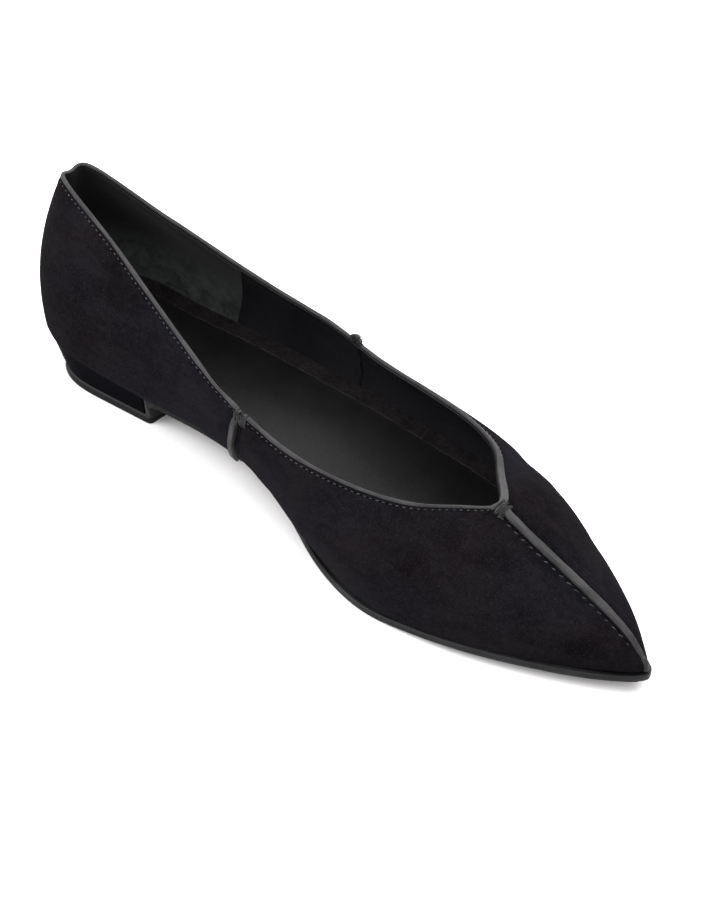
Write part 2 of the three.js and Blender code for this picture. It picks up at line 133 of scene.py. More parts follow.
shortest_step = 0.023 * last_length
ahead = np.diff(share["x"]) * last_length
aside = np.diff(share["lateral"] * widths)
travelled = np.append(0, np.cumsum(np.maximum(shortest_step, np.hypot(ahead, aside))))
knots = travelled / travelled[-1]
around = travelled[-1]
throat_row = row_of("throat")
throat_at = knots[throat_row]
ball_in_at = knots[row_of("ball_in")]
ball_at = knots[row_of("ball")]


def curve(values, first=0, last=last_row, start=None, end=None):
    return spline(knots[first:last + 1], values[first:last + 1], start, end)


rise = curve(share["rise"], 0, row_of("ball_in"), 0, 0)
spring = curve(share["spring"], row_of("ball"), last_row, 0)
low_bow = curve(share["low"])
high_bow = curve(share["high"])
sole_edge = curve(share["edge"])
print("the way from heel to toe along the sole's edge is", round(around / mm), "mm")

# %% [markdown]
# A place on the upper has two numbers. The first, w, goes once round the shoe: minus one is the toe
# on the medial side, zero the back of the heel, and one the toe again on the lateral side.
# The second, v, climbs from the feather edge, where upper meets sole, to the topline or the ridge.

# %% The last's own surface
MEDIAL, LATERAL = -1, 1
both_sides = ((MEDIAL, "medial"), (LATERAL, "lateral"))
nudge = 1e-3


def feather_height(s):
    lifted = np.where(s < ball_in_at, heel_rise * rise(np.minimum(s, ball_in_at)), 0)
    sprung = np.where(s > ball_at, toe_spring * spring(np.maximum(s, ball_at)), 0)
    return sole_thickness + lifted + sprung


feather_x = curve(share["x"] * last_length, start=0, end=0)
feather_y = {
    MEDIAL: curve(-share["medial"] * widths),
    LATERAL: curve(share["lateral"] * widths),
}


def top_curves(side, key):
    """Splines of the topline, up to the throat, and of the ridge beyond it."""
    over = throat_height - feather_height(throat_at)
    high = share["high_" + key]
    height = np.where(
        np.arange(len(names)) < throat_row,
        throat_height + high * (back_height - throat_height),
        feather_height(knots) + high * over,
    )
    tops = (share["top_x"] * last_length, side * share["top_" + key] * widths, height)
    starts = (0, None, 0)
    ends = (0, None, None)
    collar = [curve(t, 0, throat_row, a, b) for t, a, b in zip(tops, starts, ends)]
    return collar, [curve(t, throat_row) for t in tops]


tops = {side: top_curves(side, key) for side, key in both_sides}


def on_loop(w):
    return (np.asarray(w, float) + 1) % 2 - 1


def unit(a):
    return a / np.maximum(np.linalg.norm(a, axis=-1, keepdims=True), 1e-12)


def square_to(a, along):
    """The part of a that is square to along, as a unit vector."""
    return unit(a - along * (a * along).sum(-1, keepdims=True))


def between(one, other, share):
    return one + (other - one) * share


def by_side(w, medial, lateral):
    return np.where(on_loop(w) < 0, medial, lateral)


def feather(w):
    s = np.abs(on_loop(w))
    y = by_side(w, feather_y[MEDIAL](s), feather_y[LATERAL](s))
    return np.stack([feather_x(s), y, feather_height(s)], -1)


def top(w):
    s = np.abs(on_loop(w))
    places = {}
    for side, (collar, ridge) in tops.items():
        places[side] = [
            np.where(s <= throat_at + 1e-9, c(np.minimum(s, throat_at)), r(np.maximum(s, throat_at)))
            for c, r in zip(collar, ridge)
        ]
    return np.stack([by_side(w, m, l) for m, l in zip(places[MEDIAL], places[LATERAL])], -1)


def places_on_last(w, v):
    return np.broadcast_arrays(np.asarray(w, float), np.asarray(v, float))


def skin(w, v):
    """Point of the last's surface."""
    w, v = places_on_last(w, v)
    foot = feather(w)
    chord = top(w) - foot
    along = feather(w + nudge) - feather(w - nudge)
    out = unit(np.cross(chord, along)) * np.linalg.norm(chord, axis=-1, keepdims=True)
    s = np.abs(on_loop(w))[..., None]
    v = v[..., None]
    u = 1 - v
    low = foot + chord / 3 + out * low_bow(s)
    high = foot + chord * 2 / 3 + out * high_bow(s)
    return u ** 3 * foot + 3 * v * u * u * low + 3 * v * v * u * high + v ** 3 * (foot + chord)


def side_normal(w, v):
    along = skin(w + nudge, v) - skin(w - nudge, v)
    up = skin(w, np.minimum(1, v + nudge)) - skin(w, np.maximum(0, v - nudge))
    return unit(np.cross(up, along))


def normal(w, v):
    """Outward normal. On the ridge, where the two sides meet, it lies midway between theirs."""
    w, v = places_on_last(w, v)
    s = np.minimum(np.abs(on_loop(w)), 1 - 2 * nudge)
    place = np.where(v >= 1, np.where(on_loop(w) < 0, -s, s), w)
    own = side_normal(place, v)
    shared = (v >= 1) & (s >= throat_at)
    return np.where(shared[..., None], unit(own + side_normal(-place, v)), own)


print("the back of the topline is at", np.round(top(0.0) / mm, 1), "mm on the last")

# %% [markdown]
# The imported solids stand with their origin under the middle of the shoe, not at the heel.
# The lift's front edge lies at a known distance along the last, and the heel block is the seat's
# own outline, so their boxes say where the last is in the frame.

# %% Find the last in the frame
heel_length = 55.5 * mm
heel_inset = 0.8 * mm
breast_flap = 2.6 * mm
clearance = 0.3 * mm


def bottom_edge(w, outward):
    """The feather edge moved outwards in plan."""
    along = feather(w + nudge) - feather(w - nudge)
    out = unit(np.stack([-along[..., 1], along[..., 0], 0 * along[..., 0]], -1))
    return feather(w) + out * np.asarray(outward)[..., None]


def station_at(x):
    """How far along the last its feather edge passes x."""
    s = np.linspace(0, 1, 4001)
    return np.interp(x, feather_x(s), s)


def seat_height(x):
    return feather_height(station_at(x))


breast_at = station_at(heel_length)
flap_back = heel_length + clearance
flap_front = flap_back + breast_flap
seat = bottom_edge(np.linspace(-breast_at, breast_at, 400), np.full(400, -heel_inset))
block_low, block_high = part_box("heel_block")
lift_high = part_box("top_lift")[1]
place = np.array([
    lift_high.x - flap_front,
    (block_low.y + block_high.y - seat[:, 1].min() - seat[:, 1].max()) / 2,
    0,
])
print("the heel's feather edge lies at x", round(place[0] / mm, 2), "y", round(place[1] / mm, 2), "mm")

# %% [markdown]
# Most pieces of a shoe are sheets cut flat and pulled over the last, or bars that follow a line.
# So two helpers make nearly all of them: one lays a grid on given places, and one sweeps an outline
# along a line. Both start from Blender's grid, and edit mode welds and closes it.

# %% Helpers for grids and bars
def activate(piece):
    bpy.ops.object.select_all(action="DESELECT")
    piece.select_set(True)
    bpy.context.view_layer.objects.active = piece


def lay_grid(name, places, uv):
    """Adds a grid and lays its vertices on places, which are rows of columns of points."""
    rows, count = places.shape[:2]
    bpy.ops.object.select_all(action="DESELECT")
    bpy.ops.mesh.primitive_grid_add(x_subdivisions=count - 1, y_subdivisions=rows - 1, size=1)
    piece = bpy.context.object
    piece.name = piece.data.name = name
    piece.data.vertices.foreach_set("co", (places + place).reshape(-1))
    corners = np.empty(len(piece.data.loops), int)
    piece.data.loops.foreach_get("vertex_index", corners)
    piece.data.uv_layers.active.data.foreach_set("uv", uv.reshape(-1, 2)[corners].reshape(-1))
    piece.data.update()
    return piece


def close_up(piece, weld=0.01 * mm, caps=False):
    """Welds the seams of a mesh and, if asked, fills its ends and turns its faces outwards."""
    activate(piece)
    bpy.ops.object.mode_set(mode="EDIT")
    bpy.ops.mesh.select_all(action="SELECT")
    bpy.ops.mesh.remove_doubles(threshold=weld)
    if caps:
        bpy.ops.mesh.fill_holes(sides=0)
        bpy.ops.mesh.select_all(action="SELECT")
        bpy.ops.mesh.normals_make_consistent(inside=False)
    bpy.ops.object.mode_set(mode="OBJECT")
    return piece


def modify(piece, kind, **settings):
    """Adds a modifier and applies it."""
    activate(piece)
    modifier = piece.modifiers.new(kind.lower(), kind)
    for key, value in settings.items():
        setattr(modifier, key, value)
    bpy.ops.object.modifier_apply(modifier=modifier.name)


def lengths(points, axis=0):
    """Length travelled along rows of points."""
    steps = np.linalg.norm(np.diff(points, axis=axis), axis=-1)
    start = np.zeros_like(np.take(steps, [0], axis=axis))
    return np.concatenate([start, np.cumsum(steps, axis=axis)], axis=axis)


def sweep(name, centres, across, up, outline, closed=False):
    """Bar along centres. Its outline holds (across, up) offsets, the same or one set a station."""
    outline = np.asarray(outline, float)
    if outline.ndim == 2:
        outline = np.repeat(outline[:, None], len(centres), axis=1)
    outline = np.concatenate([outline, outline[:1]])
    if closed:
        centres, across, up = (np.concatenate([a, a[:1]]) for a in (centres, across, up))
        outline = np.concatenate([outline, outline[:, :1]], axis=1)
    places = centres + outline[..., :1] * across + outline[..., 1:] * up
    along = np.broadcast_to(lengths(centres), places.shape[:2])
    girth = np.broadcast_to(lengths(places[:, 0])[:, None], places.shape[:2])
    piece = lay_grid(name, places, np.stack([along, girth], -1))
    return close_up(piece, caps=True)


def outline_of(*profile):
    """Outline of a bar from (across, up) pairs in mm, each with one value for every station."""
    return np.stack([np.stack(pair, -1) for pair in profile]) * mm


def circle(radius):
    turn = np.linspace(0, 2 * math.pi, 7)[:-1]
    return np.stack([np.cos(turn), np.sin(turn)], -1) * radius


def thicken(piece, thickness, offset=-1):
    modify(piece, "SOLIDIFY", thickness=thickness, offset=offset, use_even_offset=False)


def hand_over(piece, finish, slot, *nodes, angle=50):
    """Gives a finished piece its material and its body, and hides the solids that it stands for."""
    activate(piece)
    bpy.ops.object.shade_smooth_by_angle(angle=math.radians(angle))
    piece.data.materials.clear()
    piece.data.materials.append(finish)
    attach(piece, "root")
    if nodes:
        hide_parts(*nodes)
    piece.data.calc_loop_triangles()
    print(piece.name, len(piece.data.loop_triangles), "triangles")
    return piece


def spread_out(*stretches):
    """Stations in stretches of (from, to, steps)."""
    parts = [np.linspace(a, b, steps, endpoint=False) for a, b, steps in stretches]
    return np.append(np.concatenate(parts), stretches[-1][1])


def smooth(x, start, end):
    t = np.clip((x - start) / (end - start), 0, 1)
    return t * t * (3 - 2 * t)


def ridge_of(distance, centre, width):
    return np.exp(-((distance - centre) / width) ** 2)


print("helpers ready")

# %% [markdown]
# Shader maths reads like ordinary maths if a socket can be added and multiplied.
# This small class wraps a socket, and each sum or product adds the Math node that it stands for.

# %% Sockets that do sums
class Signal:
    """An output socket, or the result of a sum on some."""

    def __init__(self, finish, socket):
        self.finish = finish
        self.socket = socket

    def maths(self, operation, *values):
        inputs = dict(enumerate(values))
        return self.finish.node("ShaderNodeMath", {"operation": operation}, inputs)

    def __add__(self, other):
        return self.maths("ADD", self, other)

    def __sub__(self, other):
        return self.maths("SUBTRACT", self, other)

    def __rsub__(self, other):
        return self.maths("SUBTRACT", other, self)

    def __mul__(self, other):
        return self.maths("MULTIPLY", self, other)

    __radd__ = __add__
    __rmul__ = __mul__


class Finish:
    """A material with one Principled shader, built up node by node."""

    def __init__(self, name, **constants):
        self.material = bpy.data.materials.new(name)
        self.material.use_nodes = True
        self.tree = self.material.node_tree
        self.shader = self.tree.nodes["Principled BSDF"]
        for key, value in constants.items():
            self.shader.inputs[key.replace("_", " ")].default_value = value
        self.object = self.node("ShaderNodeTexCoord", out="Object")
        self.uv = self.node("ShaderNodeTexCoord", out="UV")

    def node(self, kind, settings=None, inputs=None, out=0):
        """Adds a node: its settings first, then the values or links of its sockets."""
        node = self.tree.nodes.new(kind)
        for key, value in (settings or {}).items():
            setattr(node, key, value)
        for key, value in (inputs or {}).items():
            if isinstance(value, Signal):
                self.tree.links.new(value.socket, node.inputs[key])
            else:
                node.inputs[key].default_value = value
        return Signal(self, node.outputs[out])

    def noise(self, size, detail=2, rough=0.5, vector=None, warp=0):
        """Noise whose patches are about size wide, in metres, from 0 to 1."""
        inputs = {"Vector": vector or self.object, "Scale": 1 / size, "Detail": detail}
        inputs.update({"Roughness": rough, "Distortion": warp})
        return self.node("ShaderNodeTexNoise", inputs=inputs)

    def level(self):
        """Height above the floor."""
        return self.node("ShaderNodeSeparateXYZ", inputs={"Vector": self.object}, out="Z")

    def stretched(self, source, x=1, y=1, z=1):
        return self.node("ShaderNodeMapping", inputs={"Vector": source, "Scale": (x, y, z)})

    def mask(self, signal, low, high):
        inputs = {"Value": signal, "From Min": low, "From Max": high}
        return self.node("ShaderNodeMapRange", {"interpolation_type": "SMOOTHSTEP"}, inputs)

    def blend(self, factor, one, other):
        """Mixes two colours."""
        inputs = {0: factor, 6: self.solid(one), 7: self.solid(other)}
        return self.node("ShaderNodeMix", {"data_type": "RGBA"}, inputs, out=2)

    @staticmethod
    def solid(colour):
        return colour if isinstance(colour, Signal) else (*colour, 1)

    def relief(self, height, depth, under=None):
        """A bump of a height from 0 to 1, depth metres deep."""
        inputs = {"Height": height, "Distance": depth}
        if under:
            inputs["Normal"] = under
        return self.node("ShaderNodeBump", inputs=inputs)

    def link(self, **signals):
        for key, signal in signals.items():
            self.tree.links.new(signal.socket, self.shader.inputs[key.replace("_", " ")])
        return self.material


print("materials can be written as sums")

# %% [markdown]
# Suede is the split side of a hide, sanded until its fibres stand up.
# It hardly shines. Light catches the tips of the nap instead, most where it is seen edge-on, so a
# little sheen does the work of gloss. Where fingers have brushed the nap it lies another way,
# and the black turns a shade warmer or cooler in soft patches.

# %% Finish: black suede
def make_suede():
    suede = Finish(
        "black suede",
        Specular_IOR_Level=0.0,
        Sheen_Weight=0.016,
        Sheen_Roughness=0.42,
        Sheen_Tint=(0.90, 0.86, 0.98, 1),
    )
    brushed = suede.noise(30 * mm, 3, 0.55, warp=0.8)
    strokes = suede.noise(8 * mm, 4, 0.62, vector=suede.stretched(suede.object, 0.4, 1, 1.2), warp=0.4)
    clumps = suede.noise(2.2 * mm, 4, 0.68)
    fibres = suede.noise(0.55 * mm, 3, 0.75)
    nap = brushed * 0.38 + strokes * 0.34 + clumps * 0.28
    tone = suede.mask(nap, 0.36, 0.64)
    warmth = suede.mask(suede.noise(44 * mm, 2, 0.5, warp=1.4), 0.42, 0.60)
    dark = suede.blend(warmth, (0.0021, 0.0019, 0.0026), (0.0025, 0.0019, 0.0023))
    pale = suede.blend(warmth, (0.0054, 0.0050, 0.0064), (0.0058, 0.0049, 0.0058))
    colour = suede.blend(tone, dark, pale)
    speck = suede.mask(fibres, 0.52, 0.74)
    colour = suede.blend(speck * 0.42, colour, (0.019, 0.0175, 0.0205))
    soft = suede.relief(clumps, 0.22 * mm)
    return suede.link(
        Base_Color=colour,
        Roughness=0.96 - speck * 0.12,
        Normal=suede.relief(fibres, 0.16 * mm, soft),
    )


suede = make_suede()
print(suede.name, len(suede.node_tree.nodes), "nodes")

# %% [markdown]
# The edges and the seam tapes are smooth leather, dark gray where the suede is black.
# Fine streaks run along each tape from the slitting knife, and the surface has a tight grain.

# %% Finish: smooth gray leather
def make_tape_leather():
    leather = Finish("smooth gray leather", Specular_IOR_Level=0.15)
    streaks = leather.noise(0.45 * mm, 3, 0.6, vector=leather.stretched(leather.uv, 0.05, 1, 1))
    patches = leather.noise(7 * mm, 3, 0.6)
    grain = leather.noise(0.5 * mm, 3, 0.6)
    tone = leather.mask(streaks * 0.55 + patches * 0.45, 0.36, 0.64)
    colour = leather.blend(tone, (0.0078, 0.0073, 0.0079), (0.0240, 0.0228, 0.0240))
    lines = leather.relief(streaks, 0.09 * mm)
    return leather.link(
        Base_Color=colour,
        Roughness=0.40 + grain * 0.22,
        Normal=leather.relief(grain, 0.06 * mm, lines),
    )


tape_leather = make_tape_leather()
print(tape_leather.name, len(tape_leather.node_tree.nodes), "nodes")

# %% [markdown]
# Inside, the shoe is lined with thin black leather. The sock underfoot is the same leather over a
# thin foam, polished by handling, so it has a broad soft sheen and a finer grain.
# Around the heel the lining is turned flesh side out, to grip the foot. It looks dull and gray. Its
# colour is painted paler low down and darker towards the topline, as painted light and shade.

# %% Finishes: lining, sock and heel grip
def make_smooth_leather(name, dark, pale, shine, grain_size, depth):
    leather = Finish(name, Specular_IOR_Level=shine)
    patches = leather.noise(22 * mm, 3, 0.5)
    grain = leather.noise(grain_size, 3, 0.65)
    pores = leather.node(
        "ShaderNodeTexVoronoi",
        {"feature": "DISTANCE_TO_EDGE"},
        {"Vector": leather.object, "Scale": 1 / (2.2 * grain_size), "Randomness": 1},
    )
    wrinkle = leather.mask(pores, 0.0, 0.16)
    colour = leather.blend(leather.mask(patches, 0.3, 0.7), dark, pale)
    return leather.link(
        Base_Color=colour,
        Roughness=0.44 + patches * 0.16 - wrinkle * 0.05,
        Normal=leather.relief(wrinkle, depth, leather.relief(grain, depth)),
    )


def make_grip():
    grip = Finish(
        "dull heel lining", Specular_IOR_Level=0.0, Sheen_Weight=0.03, Sheen_Roughness=0.5)
    cloud = grip.noise(6 * mm, 4, 0.62, warp=0.6)
    fuzz = grip.noise(0.7 * mm, 3, 0.7)
    tone = grip.mask(cloud * 0.65 + fuzz * 0.35, 0.34, 0.68)
    # Painted light and shade: the grip is paler low down, where light falls in, and darker towards the
    # topline.
    painted_lit_grip = grip.blend(tone, (0.013, 0.0138, 0.0140), (0.044, 0.047, 0.0465))
    height = grip.mask(grip.level() + cloud * 14 * mm, 33 * mm, 54 * mm)
    colour = grip.blend(height, painted_lit_grip, (0.0060, 0.0060, 0.0066))
    return grip.link(Base_Color=colour, Roughness=0.8 + fuzz * 0.15, Normal=grip.relief(fuzz, 0.10 * mm))


def make_fuzz(name, dark, pale):
    fuzz = Finish(name, Specular_IOR_Level=0.0, Sheen_Weight=0.03, Sheen_Roughness=0.5)
    tufts = fuzz.noise(0.9 * mm, 4, 0.75)
    cloud = fuzz.noise(6 * mm, 2, 0.5)
    colour = fuzz.blend(fuzz.mask(tufts * 0.7 + cloud * 0.3, 0.38, 0.62), dark, pale)
    bump = fuzz.relief(tufts, 0.3 * mm)
    return fuzz.link(Base_Color=colour, Roughness=0.9 + tufts * 0.08, Normal=bump)


lining_leather = make_smooth_leather(
    "black lining", (0.0054, 0.0052, 0.0062), (0.0088, 0.0086, 0.0100), 0.09, 0.5 * mm, 0.03 * mm)
sock_leather = make_smooth_leather(
    "black sock", (0.0022, 0.0022, 0.0025), (0.0039, 0.0038, 0.0043), 0.105, 0.42 * mm, 0.03 * mm)
grip = make_grip()
band_fuzz = make_fuzz("raw brown edge", (0.0040, 0.0034, 0.0037), (0.0105, 0.0086, 0.0092))
line_fuzz = make_fuzz("frayed line", (0.009, 0.008, 0.0085), (0.036, 0.031, 0.032))
print(lining_leather.name, "and", sock_leather.name, "made")

# %% [markdown]
# The edge of the sole and of the lift is trimmed, inked and rubbed up on a wheel, which leaves a
# gray gloss with fine lines along it. The lift's upper rim is a thin paler layer.
# The heel's cover is a thin black leather with hardly any shine. One recipe serves for the sewing
# thread, the duller thread of the tacks and, almost black, the painted shade of the needle holes.

# %% Finishes: sole, heel cover, lift and thread
def make_polished(name, dark, pale, rough, shine, rim=None, under=None):
    """Inked edge. Rim is the colour of its top layer. Under is that of the faces beside the edge, and is
    also painted on the edge as shade where the uv's second number is low.
    """
    edge = Finish(name, Specular_IOR_Level=shine)
    lines = edge.noise(0.6 * mm, 3, 0.6, vector=edge.stretched(edge.object, 0.06, 0.06, 1))
    patches = edge.noise(16 * mm, 3, 0.55)
    grain = edge.noise(0.5 * mm, 3, 0.6)
    colour = edge.blend(edge.mask(lines * 0.5 + patches * 0.5, 0.32, 0.68), dark, pale)
    if rim:
        colour = edge.blend(edge.mask(edge.level(), 2.42 * mm, 2.62 * mm), colour, rim)
    # Painted shade: where the uv's second number falls, the edge takes the dark colour of the faces.
    if under:
        on_edge = edge.node("ShaderNodeSeparateXYZ", inputs={"Vector": edge.uv}, out="Y")
        colour = edge.blend(edge.mask(on_edge, 0.2, 0.8), under, colour)
    return edge.link(
        Base_Color=colour,
        Roughness=rough + patches * 0.16,
        Normal=edge.relief(grain, 0.03 * mm, edge.relief(lines, 0.03 * mm)),
    )


sole_leather = make_polished(
    "inked sole leather", (0.0040, 0.0040, 0.0045), (0.011, 0.0108, 0.0118), 0.40, 0.12,
    under=(0.0018, 0.0018, 0.0022))
lift_rubber = make_polished(
    "gray lift", (0.0045, 0.0045, 0.0050), (0.0085, 0.0085, 0.009), 0.5, 0.06, (0.019, 0.019, 0.020))
heel_leather = make_smooth_leather(
    "black heel cover", (0.0010, 0.0009, 0.0014), (0.0019, 0.0017, 0.0025), 0.004, 0.6 * mm, 0.03 * mm)


def make_thread(name, dark, pale, shine):
    thread = Finish(name, Specular_IOR_Level=shine)
    twist = thread.noise(0.3 * mm, 2, 0.6)
    patches = thread.noise(2.0 * mm, 2, 0.5)
    colour = thread.blend(thread.mask(twist * 0.45 + patches * 0.55, 0.38, 0.62), dark, pale)
    bump = thread.relief(twist, 0.05 * mm)
    return thread.link(Base_Color=colour, Roughness=0.45 + twist * 0.2, Normal=bump)


thread_finish = make_thread("black thread", (0.005, 0.0048, 0.0056), (0.036, 0.034, 0.037), 0.22)
tack_finish = make_thread("tack thread", (0.0025, 0.0024, 0.0028), (0.019, 0.018, 0.0195), 0.16)
# Painted shade: the needle holes are near-black beads that stand in for the shade inside each hole.
needle_hole_shade = make_thread("needle holes", (0.0006, 0.0006, 0.0007), (0.0012, 0.0012, 0.0013), 0.0)
print(sole_leather.name, lift_rubber.name, heel_leather.name, thread_finish.name)

# %% [markdown]
# The upper is cut from suede in panels that meet at the side seams and down the middle of the vamp.
# Seams and edges need distances: how far a point is from the topline, from the ridge over the toe,
# and from each side seam. They are measured to lines drawn once on the last.

# %% Lines on the last
seams = {MEDIAL: (0.401, 0.416), LATERAL: (0.42, 0.42)}
tip_end = 1 - 1e-6


def seam_station(side, v):
    return side * between(*seams[side], np.asarray(v, float))


def seam_line(side, count=120):
    v = np.linspace(0, 1, count)
    return skin(seam_station(side, v), v)


round_topline = np.linspace(-throat_at, throat_at, 1200)
topline = top(round_topline)
ridge_stations = np.linspace(throat_at, tip_end, 400)
ridge = np.concatenate([top(-ridge_stations), skin(-1.0, np.linspace(1, 0, 30))[1:]])


def distance_to(points, line):
    """Distance of every point from a polyline."""
    flat = points.reshape(-1, 3)
    best = np.empty(len(flat))
    start, step = line[:-1], np.diff(line, axis=0)
    square = np.maximum((step ** 2).sum(-1), 1e-18)
    for low in range(0, len(flat), 2000):
        away = flat[low:low + 2000, None] - start
        t = np.clip((away * step).sum(-1) / square, 0, 1)
        best[low:low + 2000] = np.linalg.norm(away - t[..., None] * step, axis=-1).min(1)
    return best.reshape(points.shape[:-1])


def climb(w, rows, top_rows=17, top_zone=5.4 * mm, samples=60):
    """Rows up the last at each station: even below, and close together in the top few millimetres."""
    v = np.linspace(0, 1, samples)
    run = lengths(skin(w[None], v[:, None]))
    whole = run[-1]
    zone = np.minimum(top_zone, 0.4 * whole)
    low = smooth(np.linspace(0, 1, rows - top_rows), -0.6, 1.1)
    low = (low - low[0]) / (low[-1] - low[0])
    high = np.linspace(0, 1, top_rows + 1)[1:]
    reach = np.concatenate([low[:, None] * (whole - zone), whole - zone + high[:, None] * zone])
    return np.stack([np.interp(r, k, v) for r, k in zip(reach.T, run.T)], -1), reach


side_stations = spread_out(
    (0, 0.385, 64), (0.385, 0.445, 50), (0.445, throat_at - 0.015, 48),
    (throat_at - 0.015, throat_at + 0.015, 22), (throat_at + 0.015, 0.94, 46), (0.94, tip_end, 26),
)
stations = np.concatenate([-side_stations[::-1], side_stations[1:]])
heights, reach = climb(stations, 54)
walls = skin(stations[None], heights)
outwards = normal(stations[None], heights)
print("topline", round(lengths(topline)[-1] / mm), "mm, ridge", round(lengths(ridge)[-1] / mm), "mm")

# %% [markdown]
# Wearing creases a shoe, and so does pulling it over the last. This one has hardly been worn, so it
# has only a few soft folds: over the ball, where the waist tightens and beside the heel seat.
# Each is given as a line on the last with a depth and a width.

# %% Folds in the suede
folds = (
    # (w, v) at one end, (w, v) at the other, depth and width in mm
    ((-0.655, 0.10), (-0.700, 0.72), -0.40, 3.2),
    ((-0.622, 0.12), (-0.652, 0.62), 0.30, 3.4),
    ((-0.560, 0.08), (-0.585, 0.55), -0.30, 3.8),
    ((-0.455, 0.10), (-0.470, 0.60), 0.28, 4.5),
    ((-0.330, 0.06), (-0.345, 0.50), -0.35, 4.8),
    ((-0.250, 0.05), (-0.200, 0.34), 0.30, 5.0),
    ((-0.800, 0.12), (-0.835, 0.60), -0.26, 4.0),
    ((0.645, 0.15), (0.690, 0.66), -0.40, 3.4),
    ((0.560, 0.10), (0.600, 0.50), 0.28, 4.2),
    ((0.330, 0.08), (0.350, 0.55), -0.35, 4.8),
    ((0.800, 0.15), (0.840, 0.60), -0.26, 4.0),
)


def fold_depth(points):
    total = np.zeros(points.shape[:-1])
    t = np.linspace(0, 1, 24)
    for (w_one, v_one), (w_other, v_other), depth, width in folds:
        line = skin(between(w_one, w_other, t), between(v_one, v_other, t))
        total += depth * ridge_of(distance_to(points, line) / mm, 0, width)
    return total


to_topline = distance_to(walls, topline) / mm
to_ridge = distance_to(walls, ridge) / mm
to_seam = {side: distance_to(walls, seam_line(side)) / mm for side in (MEDIAL, LATERAL)}
to_feather = reach / mm
print("folds", len(folds), "deepest", max(abs(f[2]) for f in folds), "mm")

# %% [markdown]
# Beside each tape the suede dips into the seam, swells where the fold under it is thickest, and
# dips again along the stitches. One row of stitches follows the binding closely, and the suede
# puffs a little on both sides of it.

# %% Shape of the suede
def bound(w):
    """How far the binding reaches down outside, in mm."""
    far = 0.9 + 1.7 * smooth(w, 0.62, 0.68)
    near = 1.15 + 0.8 * smooth(-w, throat_at - 0.02, throat_at)
    return np.where(w > 0, far, near)


def stitch_depth(w):
    """How far below the topline its stitches lie, in mm."""
    return bound(w) + np.where(w > 0, 0.85, 1.15)


on_medial = on_loop(stations)[None] < 0
in_vamp = smooth(np.abs(stations), throat_at, throat_at + 0.02)[None]
roomy = smooth(reach[-1] / mm, 7, 16)[None]
vamp_row = 3.1
seam_row = 3.4
suede_thickness = 0.95 * mm
turned_in = 1.4 * mm


def seam_relief(away, groove, pillow, dip):
    """Heights beside a seam, in mm."""
    return (
        groove * ridge_of(away, 1.95, 0.40)
        + pillow * ridge_of(away, 2.6, 0.4)
        + dip * ridge_of(away, vamp_row, 0.45)
        + 0.10 * ridge_of(away, vamp_row + 1.0, 0.8)
    )


collar_fade = 1 - smooth(np.abs(stations), throat_at - 0.004, throat_at + 0.012)[None]
past_binding = to_topline - bound(stations)
past_row = to_topline - stitch_depth(stations)
push = fold_depth(walls) * smooth(to_topline, 3, 9) * smooth(to_ridge, 4, 10)
push += collar_fade * (
    -0.30 * (1 - smooth(past_binding, -0.05, 0.35))
    + 0.06 * ridge_of(past_binding, 0.62, 0.25)
    - 0.20 * ridge_of(past_row, 0, 0.36)
    + 0.14 * ridge_of(past_row, 1.1, 0.8)
)
push += roomy * in_vamp * np.where(
    on_medial,
    seam_relief(to_ridge, groove=-1.1, pillow=0.16, dip=-0.22),
    seam_relief(to_ridge, groove=-0.45, pillow=0.10, dip=-0.12),
)
for side in (MEDIAL, LATERAL):
    ahead_of = np.abs(on_loop(stations))[None] - np.abs(seam_station(side, heights))
    same_side = (on_loop(stations) * side > 0)[None]
    fore = (
        -1.20 * ridge_of(to_seam[side], 1.65, 0.42)
        + 0.34 * ridge_of(to_seam[side], 2.5, 0.42)
        - 0.24 * ridge_of(to_seam[side], seam_row, 0.45)
    )
    aft = -0.35 * ridge_of(to_seam[side], 1.5, 0.40)
    push += np.where(ahead_of > 0, fore, aft) * same_side * smooth(to_topline, 0.5, 2.2)
push -= 0.40 * np.clip(1 - to_feather / 0.9, 0, 1) ** 2
sink = 0.36 * np.clip(1 - to_topline / 1.1, 0, 1) * collar_fade
suede_places = walls + outwards * (push * mm)[..., None]
suede_places[..., 2] -= sink * mm

turned = suede_places[0] - outwards[0] * turned_in - np.array([0, 0, 0.12 * mm])
suede_places = np.concatenate([turned[None], suede_places])
suede_uv = np.stack([
    np.broadcast_to(stations * around, suede_places.shape[:2]),
    np.concatenate([0 * reach[:1] - turned_in, reach]),
], -1)
upper = lay_grid("upper_suede", suede_places[:, ::-1], suede_uv[:, ::-1])
close_up(upper)
thicken(upper, suede_thickness)
hand_over(upper, suede, "suede", "upper", angle=60)

# %% [markdown]
# Inside the suede lies the lining. The front of the shoe and the heel are lined with different
# leathers, and the heel's piece ends in a straight front edge beside the arch.
# The wall is thickest low down, over the stiffeners, and thins towards the topline.

# %% Linings
wall_at_topline = 1.22
rim_zone = 4 * mm
rim_drop = 0.9 * mm


def lining(name, w, wall, thickness, finish):
    """Lining under a wall as thick as this, in mm, low down."""
    v, run = climb(w, 30, 6, rim_zone)
    below = run[-1] - run
    open_above = np.abs(on_loop(w)) < throat_at
    thinned = between(wall_at_topline, wall, smooth(below / mm, 1.0, 8.0))
    inward = np.where(open_above, thinned, wall) * mm
    points = skin(w[None], v) - normal(w[None], v) * inward[..., None]
    points[..., 2] -= np.clip(1 - below / rim_zone, 0, 1) * open_above * rim_drop
    uv = np.stack([np.broadcast_to(w * around, run.shape), run], -1)
    piece = close_up(lay_grid(name, points[:, ::-1], uv[:, ::-1]))
    thicken(piece, thickness, offset=1)
    return hand_over(piece, finish, "sock_leather", angle=60)


